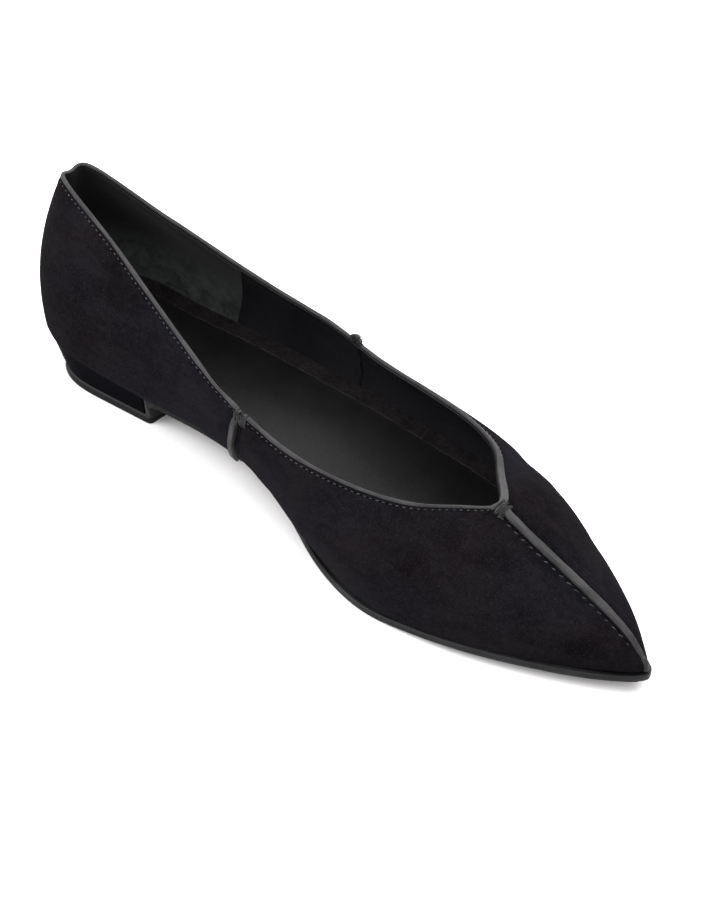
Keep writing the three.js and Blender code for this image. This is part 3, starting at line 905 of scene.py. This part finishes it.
toe_end = 0.5 * (knots[row_of("toe")] + knots[row_of("tip_round")])
fore_w = spread_out(
    (0.20, throat_at - 0.02, 70), (throat_at - 0.02, throat_at + 0.02, 20),
    (throat_at + 0.02, toe_end, 26),
)
grip_front = 0.238
lining("vamp_lining_medial", -fore_w[::-1], 1.75, 0.4 * mm, lining_leather)
lining("vamp_lining_lateral", fore_w, 1.75, 0.4 * mm, lining_leather)
lining("heel_lining", np.linspace(-grip_front, grip_front, 140), 1.95, 0.6 * mm, grip)

# %% [markdown]
# The raw topline is bound with a strip of smooth leather, folded over the edge. Little of it shows
# outside, and most is turned in. It widens at the throat, where its two ends lap over each other and
# its inner corner is rounded, and it is drawn in at the side seams.

# %% The topline's frames
def topline_frames(w):
    """Places along the topline, the way out of the shoe and the way up."""
    at = top(w)
    ahead = np.where(w + nudge > throat_at, w + nudge - 2 * throat_at, w + nudge)
    behind = np.where(w - nudge < -throat_at, w - nudge + 2 * throat_at, w - nudge)
    along = unit(top(ahead) - top(behind))
    blend = smooth(np.abs(w), throat_at - 0.05, throat_at)[:, None]
    out = side_normal(w, 1.0) + side_normal(-w, 1.0) * blend
    out = square_to(out, along)
    up = unit(np.cross(along, out))
    return at, out, up


def even(line_at, low, high, pitch):
    """Stations from low to high, evenly spaced along the line that they make."""
    fine = np.linspace(low, high, 4000)
    run = lengths(line_at(fine))
    return np.interp(np.linspace(0, run[-1], max(2, round(run[-1] / pitch)) + 1), run, fine)


fine_w = np.linspace(-throat_at, throat_at, 4000)
fine_run = lengths(top(fine_w))
whole_run = fine_run[-1]
dense = 9 * mm
thin_out = whole_run - dense
spots = spread_out((0, dense, 40), (dense, thin_out, 460), (thin_out, whole_run, 40))[:-1]
binding_w = np.interp(spots, fine_run, fine_w)
rim_at, rim_out, rim_up = topline_frames(binding_w)
past_throat = np.where(spots < whole_run / 2, -spots, whole_run - spots) / mm
corner_reach = 6.5
corner_curve = 17
fillet = np.clip(corner_reach - np.abs(past_throat), 0, None) ** 2 / corner_curve
lap = smooth(past_throat, -2.3, -2.0) * (1 - smooth(past_throat, 2.0, 7.0))
pinch = np.zeros(len(binding_w))
for side in (MEDIAL, LATERAL):
    pinch += ridge_of(binding_w, side * (seams[side][1] + 0.004), 2.6 * mm / around)
lean = ridge_of(binding_w, -0.615, 0.045) + 0.7 * ridge_of(binding_w, -0.345, 0.03)
even_w = binding_w * around / mm
waver = 0.035 * np.sin(even_w / 5.1) + 0.03 * np.sin(even_w / 2.3 + 1.0)
outer = 0.10 + 0.16 * lap + waver - 0.30 * pinch
crown = 0.03 + waver + 0.16 * lap - 0.35 * pinch
flange = -bound(binding_w) - waver
inner = -1.24 - fillet - 0.10 * lap + 0.35 * pinch
drop = 0.75 * lean
one = np.ones(len(binding_w))
binding_outline = outline_of(
    (outer - 0.16, flange), (outer - 0.02, flange + 0.12), (outer + 0.02, flange + 0.4),
    (outer + 0.02, -0.30 * one), (outer - 0.05, crown - 0.13), (outer - 0.22, crown - 0.02),
    (0.5 * (outer + inner), crown - 0.45 * drop), (inner + 0.28, crown - 0.03 - drop),
    (inner + 0.08, crown - 0.16 - drop), (inner, -0.42 - drop), (inner - 0.02, -1.0 - 0.5 * drop),
    (inner, -1.55 * one), (inner + 0.03, -1.80 * one), (inner + 0.18, -1.95 * one),
    (inner + 0.6, -1.6 * one), (-0.55 * one, -1.0 * one), (-0.45 * one, flange),
)
binding = sweep("topline_binding_leather", rim_at, rim_out, rim_up, binding_outline, closed=True)
hand_over(binding, tape_leather, "smooth_leather", "topline_binding", angle=60)

# %% [markdown]
# A narrow tape covers the seam down the middle of the vamp. Its medial edge is skived to a slope
# that catches the light, and it narrows towards the tip. Shorter tapes, thick and flat on top, cover
# the two side seams, and thin out where they run under the tacks at the topline.

# %% Tapes
def tape(name, at, out, outline, node):
    along = np.gradient(at, axis=0)
    across = unit(np.cross(along, out))
    up = unit(np.cross(across, along))
    piece = sweep(name, at, across, up, outline)
    return hand_over(piece, tape_leather, "smooth_leather", node, angle=28)


vamp_start = throat_at + 0.25 * (knots[row_of("vamp")] - throat_at)
vamp_w = -even(lambda s: top(-s), vamp_start, tip_end, 0.7 * mm)
toe_v = np.linspace(1, 0.05, 8)[1:]
vamp_at = np.concatenate([top(vamp_w), skin(-1.0, toe_v)])
vamp_out = np.concatenate([normal(vamp_w, 1.0), normal(-1.0, toe_v)])
vamp_far = lengths(vamp_at) / mm
taper = 1 - 0.3 * smooth(vamp_far / vamp_far[-1], 0.55, 0.9)
crimp = ridge_of(vamp_far, 0.66 * vamp_far[-1], 0.8)
ripple = 0.05 * np.sin(vamp_far / 2.1) + 0.04 * np.sin(vamp_far / 0.9 + 2)
low_end = -0.8 * np.ones(len(vamp_at))
fold = 0.25 + 0.15 * np.sin(vamp_far / 9.0)
vamp_outline = outline_of(
    (1.52 * taper, low_end), (1.52 * taper, low_end + 0.85), (1.47 * taper, low_end + 1.0),
    (1.30 * taper, low_end + 1.18), (0.55 * taper + fold, 0.84 - 0.25 * crimp),
    (0.35 * taper + fold, 0.90 - 0.25 * crimp), (-0.30 * taper, 0.86 - 0.20 * crimp),
    (-0.95 * taper, 0.76 - 0.10 * crimp), (-(1.18 + ripple) * taper, low_end + 1.42),
    (-(1.28 + ripple) * taper, low_end + 1.15), (-(1.30 + ripple) * taper, low_end),
)
tape("vamp_tape", vamp_at, vamp_out, vamp_outline, "vamp_seam_strip")

v = np.linspace(0.0, 1.0, 44)
rise_by = 1.45 - 0.95 * smooth(v, 0.78, 0.90)
wide_by = (1.0 + 0.05 * np.sin(v * 9)) * (1 - 0.25 * smooth(v, 0.8, 1.0))
low_end = np.full(len(v), -0.8)
side_outline = outline_of(
    (1.25 * wide_by, low_end), (1.24 * wide_by, rise_by * 0.60), (1.12 * wide_by, rise_by * 0.88),
    (0.85 * wide_by, rise_by * 0.99), (0.0 * wide_by, rise_by), (-0.85 * wide_by, rise_by * 0.97),
    (-1.12 * wide_by, rise_by * 0.84), (-1.24 * wide_by, rise_by * 0.55), (-1.25 * wide_by, low_end),
)
for side, key in both_sides:
    w = seam_station(side, v)
    tape("side_tape_" + key, skin(w, v), normal(w, v), side_outline, "side_seam_strip_" + key)

# %% [markdown]
# All rows are sewn with one thread. A stitch lies between two holes and sinks into the leather at
# both ends, so it looks like a grain of rice. One is modelled, and each row is made of its copies.
# So is the row of needle holes between them, flatter and lower, and almost black as painted shade inside
# the holes.

# %% Stitches
def beads(name, frames, finish):
    """Copies of a small ball, one for each place with its three half axes."""
    bpy.ops.object.select_all(action="DESELECT")
    bpy.ops.mesh.primitive_uv_sphere_add(segments=8, ring_count=6, radius=1)
    model = bpy.context.object
    copies = []
    for spot, *axes in frames:
        pose = Matrix(axes).transposed().to_4x4()
        pose.translation = Vector(spot + place)
        copy = bpy.data.objects.new(name, model.data.copy())
        copy.data.transform(pose)
        bpy.context.collection.objects.link(copy)
        copies.append(copy)
    bpy.data.objects.remove(model)
    bpy.ops.object.select_all(action="DESELECT")
    for copy in copies:
        copy.select_set(True)
    bpy.context.view_layer.objects.active = copies[0]
    bpy.ops.object.join()
    row = bpy.context.object
    row.name = row.data.name = name
    return hand_over(row, finish, "smooth_leather", angle=80)


stitch_sink = 0.10 * mm
hole_size = np.array([0.34, 0.26, 0.14]) * mm


def stitch_row(name, w, v, length, thick, slant=0.0, stray=0.0):
    """Stitches at (w, v) on the skin, turned by slant and stray, with a near-black bead of painted hole
    shade between each two.
    """
    out = normal(w, v)
    at = skin(w, v) - out * stitch_sink
    along = square_to(unit(np.gradient(skin(w, v), axis=0)), out)
    pitch = np.median(np.linalg.norm(np.diff(at, axis=0), axis=-1))
    stitches = []
    holes = []
    for k in range(len(at)):
        turn = slant + stray * math.sin(k * 2.4)
        side = np.cross(out[k], along[k])
        way = along[k] * math.cos(turn) + side * math.sin(turn)
        half = length / 2 * (1 + 0.12 * math.sin(k * 1.7))
        stitches.append((at[k], way * half, np.cross(out[k], way) * thick, out[k] * thick))
        # Painted shade: a dark bead between two stitches stands for the shaded needle hole.
        if k and np.linalg.norm(at[k] - at[k - 1]) < 1.5 * pitch:
            middle = (at[k] + at[k - 1]) / 2 - out[k] * 0.06 * mm
            holes.append((middle, *(hole_size[:, None] * [along[k], side, out[k]])))
    beads(name, stitches, thread_finish)
    beads(name.replace("stitches", "holes"), holes, needle_hole_shade)


def below_topline(w, depth):
    """Heights v that lie a depth below the topline."""
    v = np.linspace(1, 0.3, 80)
    run = lengths(skin(w[None], v[:, None]))
    depth = np.broadcast_to(depth, w.shape)
    return np.array([np.interp(d, r, v) for d, r in zip(depth, run.T)])


collar_w = even(top, -throat_at + 0.006, throat_at - 0.006, 2.3 * mm)
for side in (MEDIAL, LATERAL):
    collar_w = collar_w[np.abs(collar_w - side * (seams[side][1] + 0.006)) > 4.0 * mm / around]
collar_v = below_topline(collar_w, stitch_depth(collar_w) * mm)
stitch_row("collar_stitches", collar_w, collar_v, 1.25 * mm, 0.19 * mm, slant=0.12, stray=0.22)

s = even(lambda a: top(-a), vamp_start + 0.002, 0.965, 3.25 * mm)
vamp_v = below_topline(-s, vamp_row * (1 - 0.25 * smooth(s, 0.9, 1.0)) * mm)
stitch_row("vamp_stitches_medial", -s, vamp_v, 1.7 * mm, 0.19 * mm, slant=0.34, stray=0.14)
for side, key in both_sides:
    v = np.linspace(0.06, 0.78, 11)
    w = seam_station(side, v) + side * seam_row * mm / around
    stitch_row("side_stitches_" + key, w, v, 1.3 * mm, 0.18 * mm, stray=0.2)

# %% [markdown]
# Where a seam meets the topline, the pull of the foot would open it, so it is tacked: the thread
# runs to and fro until it makes a hard little pad. On the medial side most of the pad lies below the
# binding, and on the lateral side it stands up over it. A third tack locks the head of the vamp tape.

# %% Tacks
tack_thread = 0.17 * mm


def tack(name, corners):
    """Tube of thread through zigzag points."""
    corners = np.array(corners)
    knot = np.arange(0, len(corners) - 0.75, 0.25)
    at = np.stack([np.interp(knot, np.arange(len(corners)), c) for c in corners.T], -1)
    along = np.gradient(at, axis=0)
    side = unit(np.cross(along, np.array([0.1, 0.2, 1.0])))
    up = unit(np.cross(side, along))
    thread = sweep(name, at, side, up, circle(tack_thread))
    return hand_over(thread, tack_finish, "smooth_leather", angle=80)


def over_edge(w, down, lift):
    """A place a little below the topline outside, or just over it where down is negative."""
    at, out, up = topline_frames(np.array([w]))
    if down <= 0:
        return at[0] + out[0] * down * mm + up[0] * (lift + 0.10) * mm
    v = below_topline(np.array([w]), down * mm)[0]
    return skin(w, v) + normal(w, v) * lift * mm


# side: strokes, first and last place ahead of the seam, height of the pad, and over the edge or not
side_tacks = {MEDIAL: (26, -1.8, 6.0, 0.75, False), LATERAL: (22, -3.4, 3.6, 1.9, True)}
for side, key in both_sides:
    count, first, last, height, over = side_tacks[side]
    corners = []
    for k, ahead in enumerate(np.linspace(first, last, count)):
        jitter = math.sin(k * 2.1)
        w = side * (seams[side][1] + (ahead + 0.5 * math.sin(k * 4.3)) * mm / around)
        pad = height * math.exp(-((ahead - 0.5 * (first + last) + 1.5) / 3.0) ** 2) + 0.18
        pad *= 1 + 0.25 * math.sin(k * 3.7)
        low = 4.3 + 0.9 * jitter
        crossing = over or k % 9 == 7
        strokes = [(1.2 + 0.3 * jitter, pad * 0.9), (2.7, pad * 1.1), (low, pad * 0.6 + 0.1)]
        if crossing:
            strokes = [(-1.0, pad * 0.5), (0.0, pad * 0.9), *strokes]
        for down, lift in strokes if k % 2 else strokes[::-1]:
            corners.append(over_edge(w, down, lift))
    tack("side_tack_" + key, corners)

corners = []
for k, ahead in enumerate(np.linspace(-0.4, 4.6, 17)):
    s = throat_at + (ahead + 0.35 * math.sin(k * 4.1)) * mm / around
    spread = 0.045 * (1 + 0.3 * math.sin(k * 3.0))
    ends = []
    for step in (-1, 1):
        v = 1 - spread * (1.25 if step < 0 else 0.9)
        ends.append(skin(step * s, v) + normal(step * s, v) * (0.30 + 0.1 * math.sin(k * 2.2)) * mm)
    crest = top(-s) + normal(-s, 1.0) * (0.85 + 0.15 * math.sin(k * 5.0)) * mm
    corners += [ends[k % 2], crest, ends[1 - k % 2]]
tack("throat_tack", corners)

# %% [markdown]
# The insole is lasted in first, and the sock is stuck over it last. The sock is cut smaller than
# the floor of the shoe, so a raw fuzzy band shows between its edge and the wall. The floor dishes up
# there, where the turned-in edges of upper and lining lie under it. A frayed line marks the band's end.

# %% Insole and sock
sock_rise = 2.4 * mm
sock_thickness = 2.2 * mm
wall_to_sock = 2.0 * mm
dish = 1.6 * mm
dish_width = 7 * mm
sock_s = spread_out((0.003, 0.12, 40), (0.12, 0.84, 120), (0.84, toe_end, 14))


def sock_border(side):
    """Where the dished rim of the floor meets the inside of the wall."""
    w = side * sock_s[None]
    v = np.linspace(0, 0.75, 90)[:, None]
    points = skin(w, v) - normal(w, v) * wall_to_sock
    above = points[..., 2] - seat_height(points[..., 0]) - sock_rise - dish
    border = []
    for i in range(len(sock_s)):
        k = int(np.argmax(above[:, i] > 0))
        t = above[k - 1, i] / (above[k - 1, i] - above[k, i]) if k else 0
        border.append(between(points[k - 1, i], points[k, i], t) if k else points[0, i])
    return np.array(border)


def floor_height(x, from_wall):
    return seat_height(x) + sock_rise + dish * np.clip(1 - from_wall / dish_width, 0, 1) ** 2


medial_border = sock_border(MEDIAL)
lateral_border = sock_border(LATERAL)
across_sock = smooth(np.linspace(0, 1, 61), -0.35, 1.35)
across_sock = (across_sock - across_sock[0]) / (across_sock[-1] - across_sock[0])
sock_places = between(medial_border, lateral_border, across_sock[:, None, None])
edge_line = np.concatenate([medial_border[::-1], lateral_border])
sock_places[..., 2] = floor_height(sock_places[..., 0], distance_to(sock_places, edge_line))
sock = lay_grid("insole_sock", sock_places, sock_places[..., :2])
close_up(sock)
thicken(sock, sock_thickness)
hand_over(sock, sock_leather, "sock_leather", "insole", angle=60)

band_width = 4.6 * mm
along_edge = unit(np.gradient(edge_line, axis=0) * [1, 1, 0])
inward = np.stack([along_edge[:, 1], -along_edge[:, 0], 0 * along_edge[:, 0]], -1)
edge_run = lengths(edge_line)
fray = (0.16 * np.sin(edge_run / mm / 1.3) + 0.12 * np.sin(edge_run / mm / 0.47)) * mm
tucked = 0.3 * mm
steps_in = np.linspace(-tucked, band_width, 9)[:, None]
band_places = edge_line + inward * (steps_in + fray * (steps_in > 4 * mm))[..., None]
band_lift = 0.32 * mm * np.sqrt(np.clip((band_width + tucked - steps_in) / band_width, 0, 1))
band_places[..., 2] = floor_height(band_places[..., 0], np.maximum(steps_in, 0)) + band_lift
band_uv = np.stack(np.broadcast_arrays(edge_run, steps_in), -1)
band = close_up(lay_grid("sock_edge_band", band_places, band_uv))
thicken(band, 0.5 * mm, offset=0)
hand_over(band, band_fuzz, "sock_leather", "insole", angle=60)

line_at = band_places[-1] + [0, 0, 0.04 * mm]
line_up = np.broadcast_to([0.0, 0.0, 1.0], line_at.shape)
frayed = sweep("sock_frayed_line", line_at, inward, line_up, circle(0.17 * mm))
hand_over(frayed, line_fuzz, "sock_leather", angle=80)

# %% [markdown]
# Under the upper lies a thin sole. It runs from the toe back along the arch, turns down at the heel
# and covers the breast of the heel block as a flap. Its gray edge is painted dark along the arch and
# where it bends under the breast, as painted shade.

# %% Outsole
lift_thickness = 3.4 * mm
heel_taper = 1.6 * mm
heel_rake = 7.0 * mm
lift_inset = heel_inset + heel_taper
breast_radius = 2.2 * mm
sole_overhang = 1.2 * mm


def edge_points(s, outward, drop):
    """Both edges of a flat piece at stations, moved outwards in plan and set under the seat."""
    pair = []
    for side in (MEDIAL, LATERAL):
        point = bottom_edge(side * s, np.broadcast_to(outward, s.shape))
        point[:, 2] = seat_height(point[:, 0]) - drop
        pair.append(point)
    return pair


def slab_loop(medial_top, lateral_top, medial_low, lateral_low, steps=10, corner=0.4 * mm):
    """Loop of points round each section of a slab, with rounded corners."""
    width = np.linalg.norm(lateral_top - medial_top, axis=-1, keepdims=True)
    c = np.minimum(corner / np.maximum(width, 1e-9), 0.25)
    over = [c + (1 - 2 * c) * x for x in np.linspace(0, 1, steps)]
    down = (0.18, 0.5, 0.82)
    high = [between(medial_top, lateral_top, x) for x in over]
    low = [between(medial_low, lateral_low, x) for x in over]
    right = [between(lateral_top, lateral_low, x) for x in down]
    left = [between(medial_top, medial_low, x) for x in down]
    return np.stack([*high, *right, *low[::-1], *left[::-1]])


def make_outsole():
    bow = np.linspace(0, math.pi / 2, 7)[1:]
    inset = -np.array([lift_inset, heel_inset + 0.2 * mm])
    foot_z = lift_thickness + clearance
    top_z = seat_height(flap_back) - clearance
    low_z = seat_height(flap_front) - sole_thickness - breast_radius
    curve_front = []
    curve_back = []
    for flap in edge_points(np.full(2, breast_at), inset, 0):
        for x, z, curve in ((flap_back, top_z, curve_back), (flap_front, low_z, curve_front)):
            upright = flap.copy()
            upright[:, 0] = x
            upright[:, 2] = (foot_z, z)
            bend = np.repeat(upright[-1:], len(bow), axis=0)
            curve.append(np.concatenate([upright, bend]))
        arc = curve_front[-1][2:]
        arc[:, 0] = flap_front + breast_radius * (1 - np.cos(bow))
        arc[:, 2] = low_z + breast_radius * np.sin(bow)
        over = curve_back[-1][2:]
        over[:, 0] = np.linspace(flap_back, arc[-1, 0], len(bow) + 1)[1:]
        over[:, 2] = seat_height(over[:, 0]) - clearance
    shank_at = station_at(flap_front + breast_radius + 2.4 * mm)
    s = spread_out((shank_at, ball_at, 60), (ball_at, 0.94, 40), (0.94, tip_end, 30))
    outward = sole_overhang * sole_edge(s)
    high = edge_points(s, outward, clearance * 0.5)
    low = edge_points(s, outward, sole_thickness)
    high = [np.concatenate([a, b]) for a, b in zip(curve_back, high)]
    low = [np.concatenate([a, b]) for a, b in zip(curve_front, low)]
    loop = slab_loop(high[0], high[1], low[0], low[1])
    loop = np.concatenate([loop, loop[:1]])
    face = [1, *[0] * 8, 1]
    on_edge = np.array([*face, 1, 1, 1, *face, 1, 1, 1, 1], float)
    # Painted shade: the gray edge fades out along the arch and at the bend under the breast, where it
    # lies in shade.
    unshaded_edge = np.concatenate([np.ones(2), np.zeros(len(bow)), np.clip(5 * s / ball_at - 4, 0, 1)])
    uv = np.stack([loop[..., 0], on_edge[:, None] * unshaded_edge], -1)
    return close_up(lay_grid("outsole_leather", loop, uv), caps=True)


outsole = make_outsole()
hand_over(outsole, sole_leather, "sole_leather", "outsole", angle=40)

# %% [markdown]
# The heel is a low wooden block in thin black leather, raked forward from the back. A lift of gray
# rubber is nailed under it.

# %% Heel and lift
lift_corner = 2.0 * mm


def raked_edge(end_at, steps, outward, share=1.0):
    """The heel's outline from breast to breast, moved outwards and raked forward."""
    outline = bottom_edge(np.linspace(-end_at, end_at, steps), np.full(steps, outward))
    outline[:, 0] += heel_rake * np.maximum(0, 1 - outline[:, 0] / heel_length) * share
    return outline


def closed_front(outline, steps):
    """The outline with a straight front from its last point to its first."""
    front = between(outline[-1], outline[0], np.linspace(0, 1, steps)[1:, None])
    return np.concatenate([outline, front])


def pile_up(name, rings):
    """Solid between outlines, from the lowest to the highest."""
    rings = np.stack(rings)
    run = np.broadcast_to(lengths(rings, 1), rings.shape[:2])
    return close_up(lay_grid(name, rings, np.stack([run, rings[..., 2]], -1)), caps=True)


def heel_ring(level):
    """Outline of the heel at a level from one, under the seat, down to zero, on the lift."""
    inset = heel_inset + heel_taper * (1 - level) ** 0.8
    outline = raked_edge(breast_at, 181, -inset, 1 - level)
    outline[[0, -1], 0] = heel_length
    low = lift_thickness + clearance * 0.3
    high = seat_height(outline[:, 0]) - clearance * 0.5
    outline[:, 2] = between(low, high, level)
    return closed_front(outline, 24)


heel = pile_up("heel_cover", [heel_ring(level) for level in np.linspace(0, 1, 14)])
modify(heel, "BEVEL", width=0.45 * mm, segments=2, limit_method="ANGLE", angle_limit=math.radians(50))
hand_over(heel, heel_leather, "heel_cover", "heel_block", angle=40)


def lift_ring(outward, z):
    """Outline of the lift at a height, with rounded corners in front."""
    outline = raked_edge(station_at(flap_front - lift_corner), 161, outward - lift_inset)
    turn = np.linspace(0, math.pi / 2, 7)[1:]
    ends = []
    for end in (outline[-1], outline[0]):
        corner = np.repeat(end[None], len(turn), axis=0)
        corner[:, 0] = flap_front + outward - lift_corner * (1 - np.sin(turn))
        corner[:, 1] -= np.sign(end[1]) * lift_corner * (1 - np.cos(turn))
        ends.append(corner)
    ring = np.concatenate([ends[1][::-1], outline, ends[0]])
    ring[:, 2] = z
    return closed_front(ring, 16)


lift_profile = (
    (-0.35, 0.0), (-0.10, 0.08), (0.0, 0.32), (0.0, 1.2), (-0.02, 2.35), (-0.16, 2.5), (-0.02, 2.65),
    (0.0, 3.1), (-0.12, 3.32), (-0.4, 3.4),
)
lift = pile_up("heel_lift", [lift_ring(out_by * mm, z * mm) for out_by, z in lift_profile])
hand_over(lift, lift_rubber, "lift_rubber", "top_lift", angle=35)

# %% [markdown]
# The shoe stands on a white table under large soft lamps, as for a catalogue picture.
# A big lamp hangs overhead and another stands behind. Their light grazes the sock and the tapes
# towards the camera, which brings their sheen out. A third lights the medial side, and a weak one
# fills in from the front.

# %% Table and lamps
bpy.ops.object.select_all(action="DESELECT")
bpy.ops.mesh.primitive_plane_add(size=6, location=(0, 0, 0))
table = bpy.context.object
table.name = "table"
white = Finish("white table", Specular_IOR_Level=0.1)
paper = white.noise(0.4, 2, 0.5)
pale_gray = white.blend(paper, (0.63, 0.62, 0.625), (0.65, 0.64, 0.645))
white.link(Base_Color=pale_gray, Roughness=0.9 + paper * 0.05)
table.data.materials.append(white.material)


def lamp(name, spot, aim, size, watts):
    light = bpy.data.lights.new(name, "AREA")
    light.shape = "RECTANGLE"
    light.size, light.size_y = size
    light.energy = watts
    stand = bpy.data.objects.new(name, light)
    bpy.context.collection.objects.link(stand)
    stand.location = spot
    stand.rotation_euler = (Vector(aim) - Vector(spot)).to_track_quat("-Z", "Y").to_euler()
    return stand


lamp("overhead", (0.0, 0.0, 1.5), (0, 0, 0), (2.2, 2.2), 42)
lamp("behind", (-0.45, 0.95, 0.95), (0, 0, 0.02), (1.5, 1.0), 24)
lamp("medial side", (-0.85, -0.95, 0.85), (0, 0, 0.02), (1.3, 1.1), 27)
lamp("front fill", (0.9, -1.1, 0.9), (0, 0, 0.02), (1.2, 1.2), 10)
world = bpy.data.worlds.new("studio")
world.use_nodes = True
world.node_tree.nodes["Background"].inputs["Color"].default_value = (1, 1, 1, 1)
world.node_tree.nodes["Background"].inputs["Strength"].default_value = 1.22
bpy.context.scene.world = world
bpy.context.scene.view_settings.view_transform = "Standard"
print("table and lamps set")

# %% [markdown]
# The camera looks down on the medial side from in front of the toe, a little tilted, with a long
# lens, so the shoe keeps its true proportions.

# %% Camera
lens = 130.4
roll = math.radians(5.54)
stand_at = Vector((0.5229, -0.5273, 0.5676)) + Vector(place)
aim_at = Vector((0.131, 0.0, 0.020)) + Vector(place)
camera_data = bpy.data.cameras.new("camera")
camera_data.lens = lens
camera_data.sensor_width = 36
camera_data.sensor_fit = "HORIZONTAL"
camera = bpy.data.objects.new("camera", camera_data)
bpy.context.collection.objects.link(camera)
forward = (aim_at - stand_at).normalized()
right = forward.cross(Vector((0, 0, 1))).normalized()
up = right.cross(forward)
turned_right = right * math.cos(roll) + up * math.sin(roll)
turned_up = up * math.cos(roll) - right * math.sin(roll)
turn = Matrix((turned_right, turned_up, -forward)).transposed()
camera.matrix_world = Matrix.Translation(stand_at) @ turn.to_4x4()
bpy.context.scene.camera = camera
print("camera", [round(v, 3) for v in camera.location])
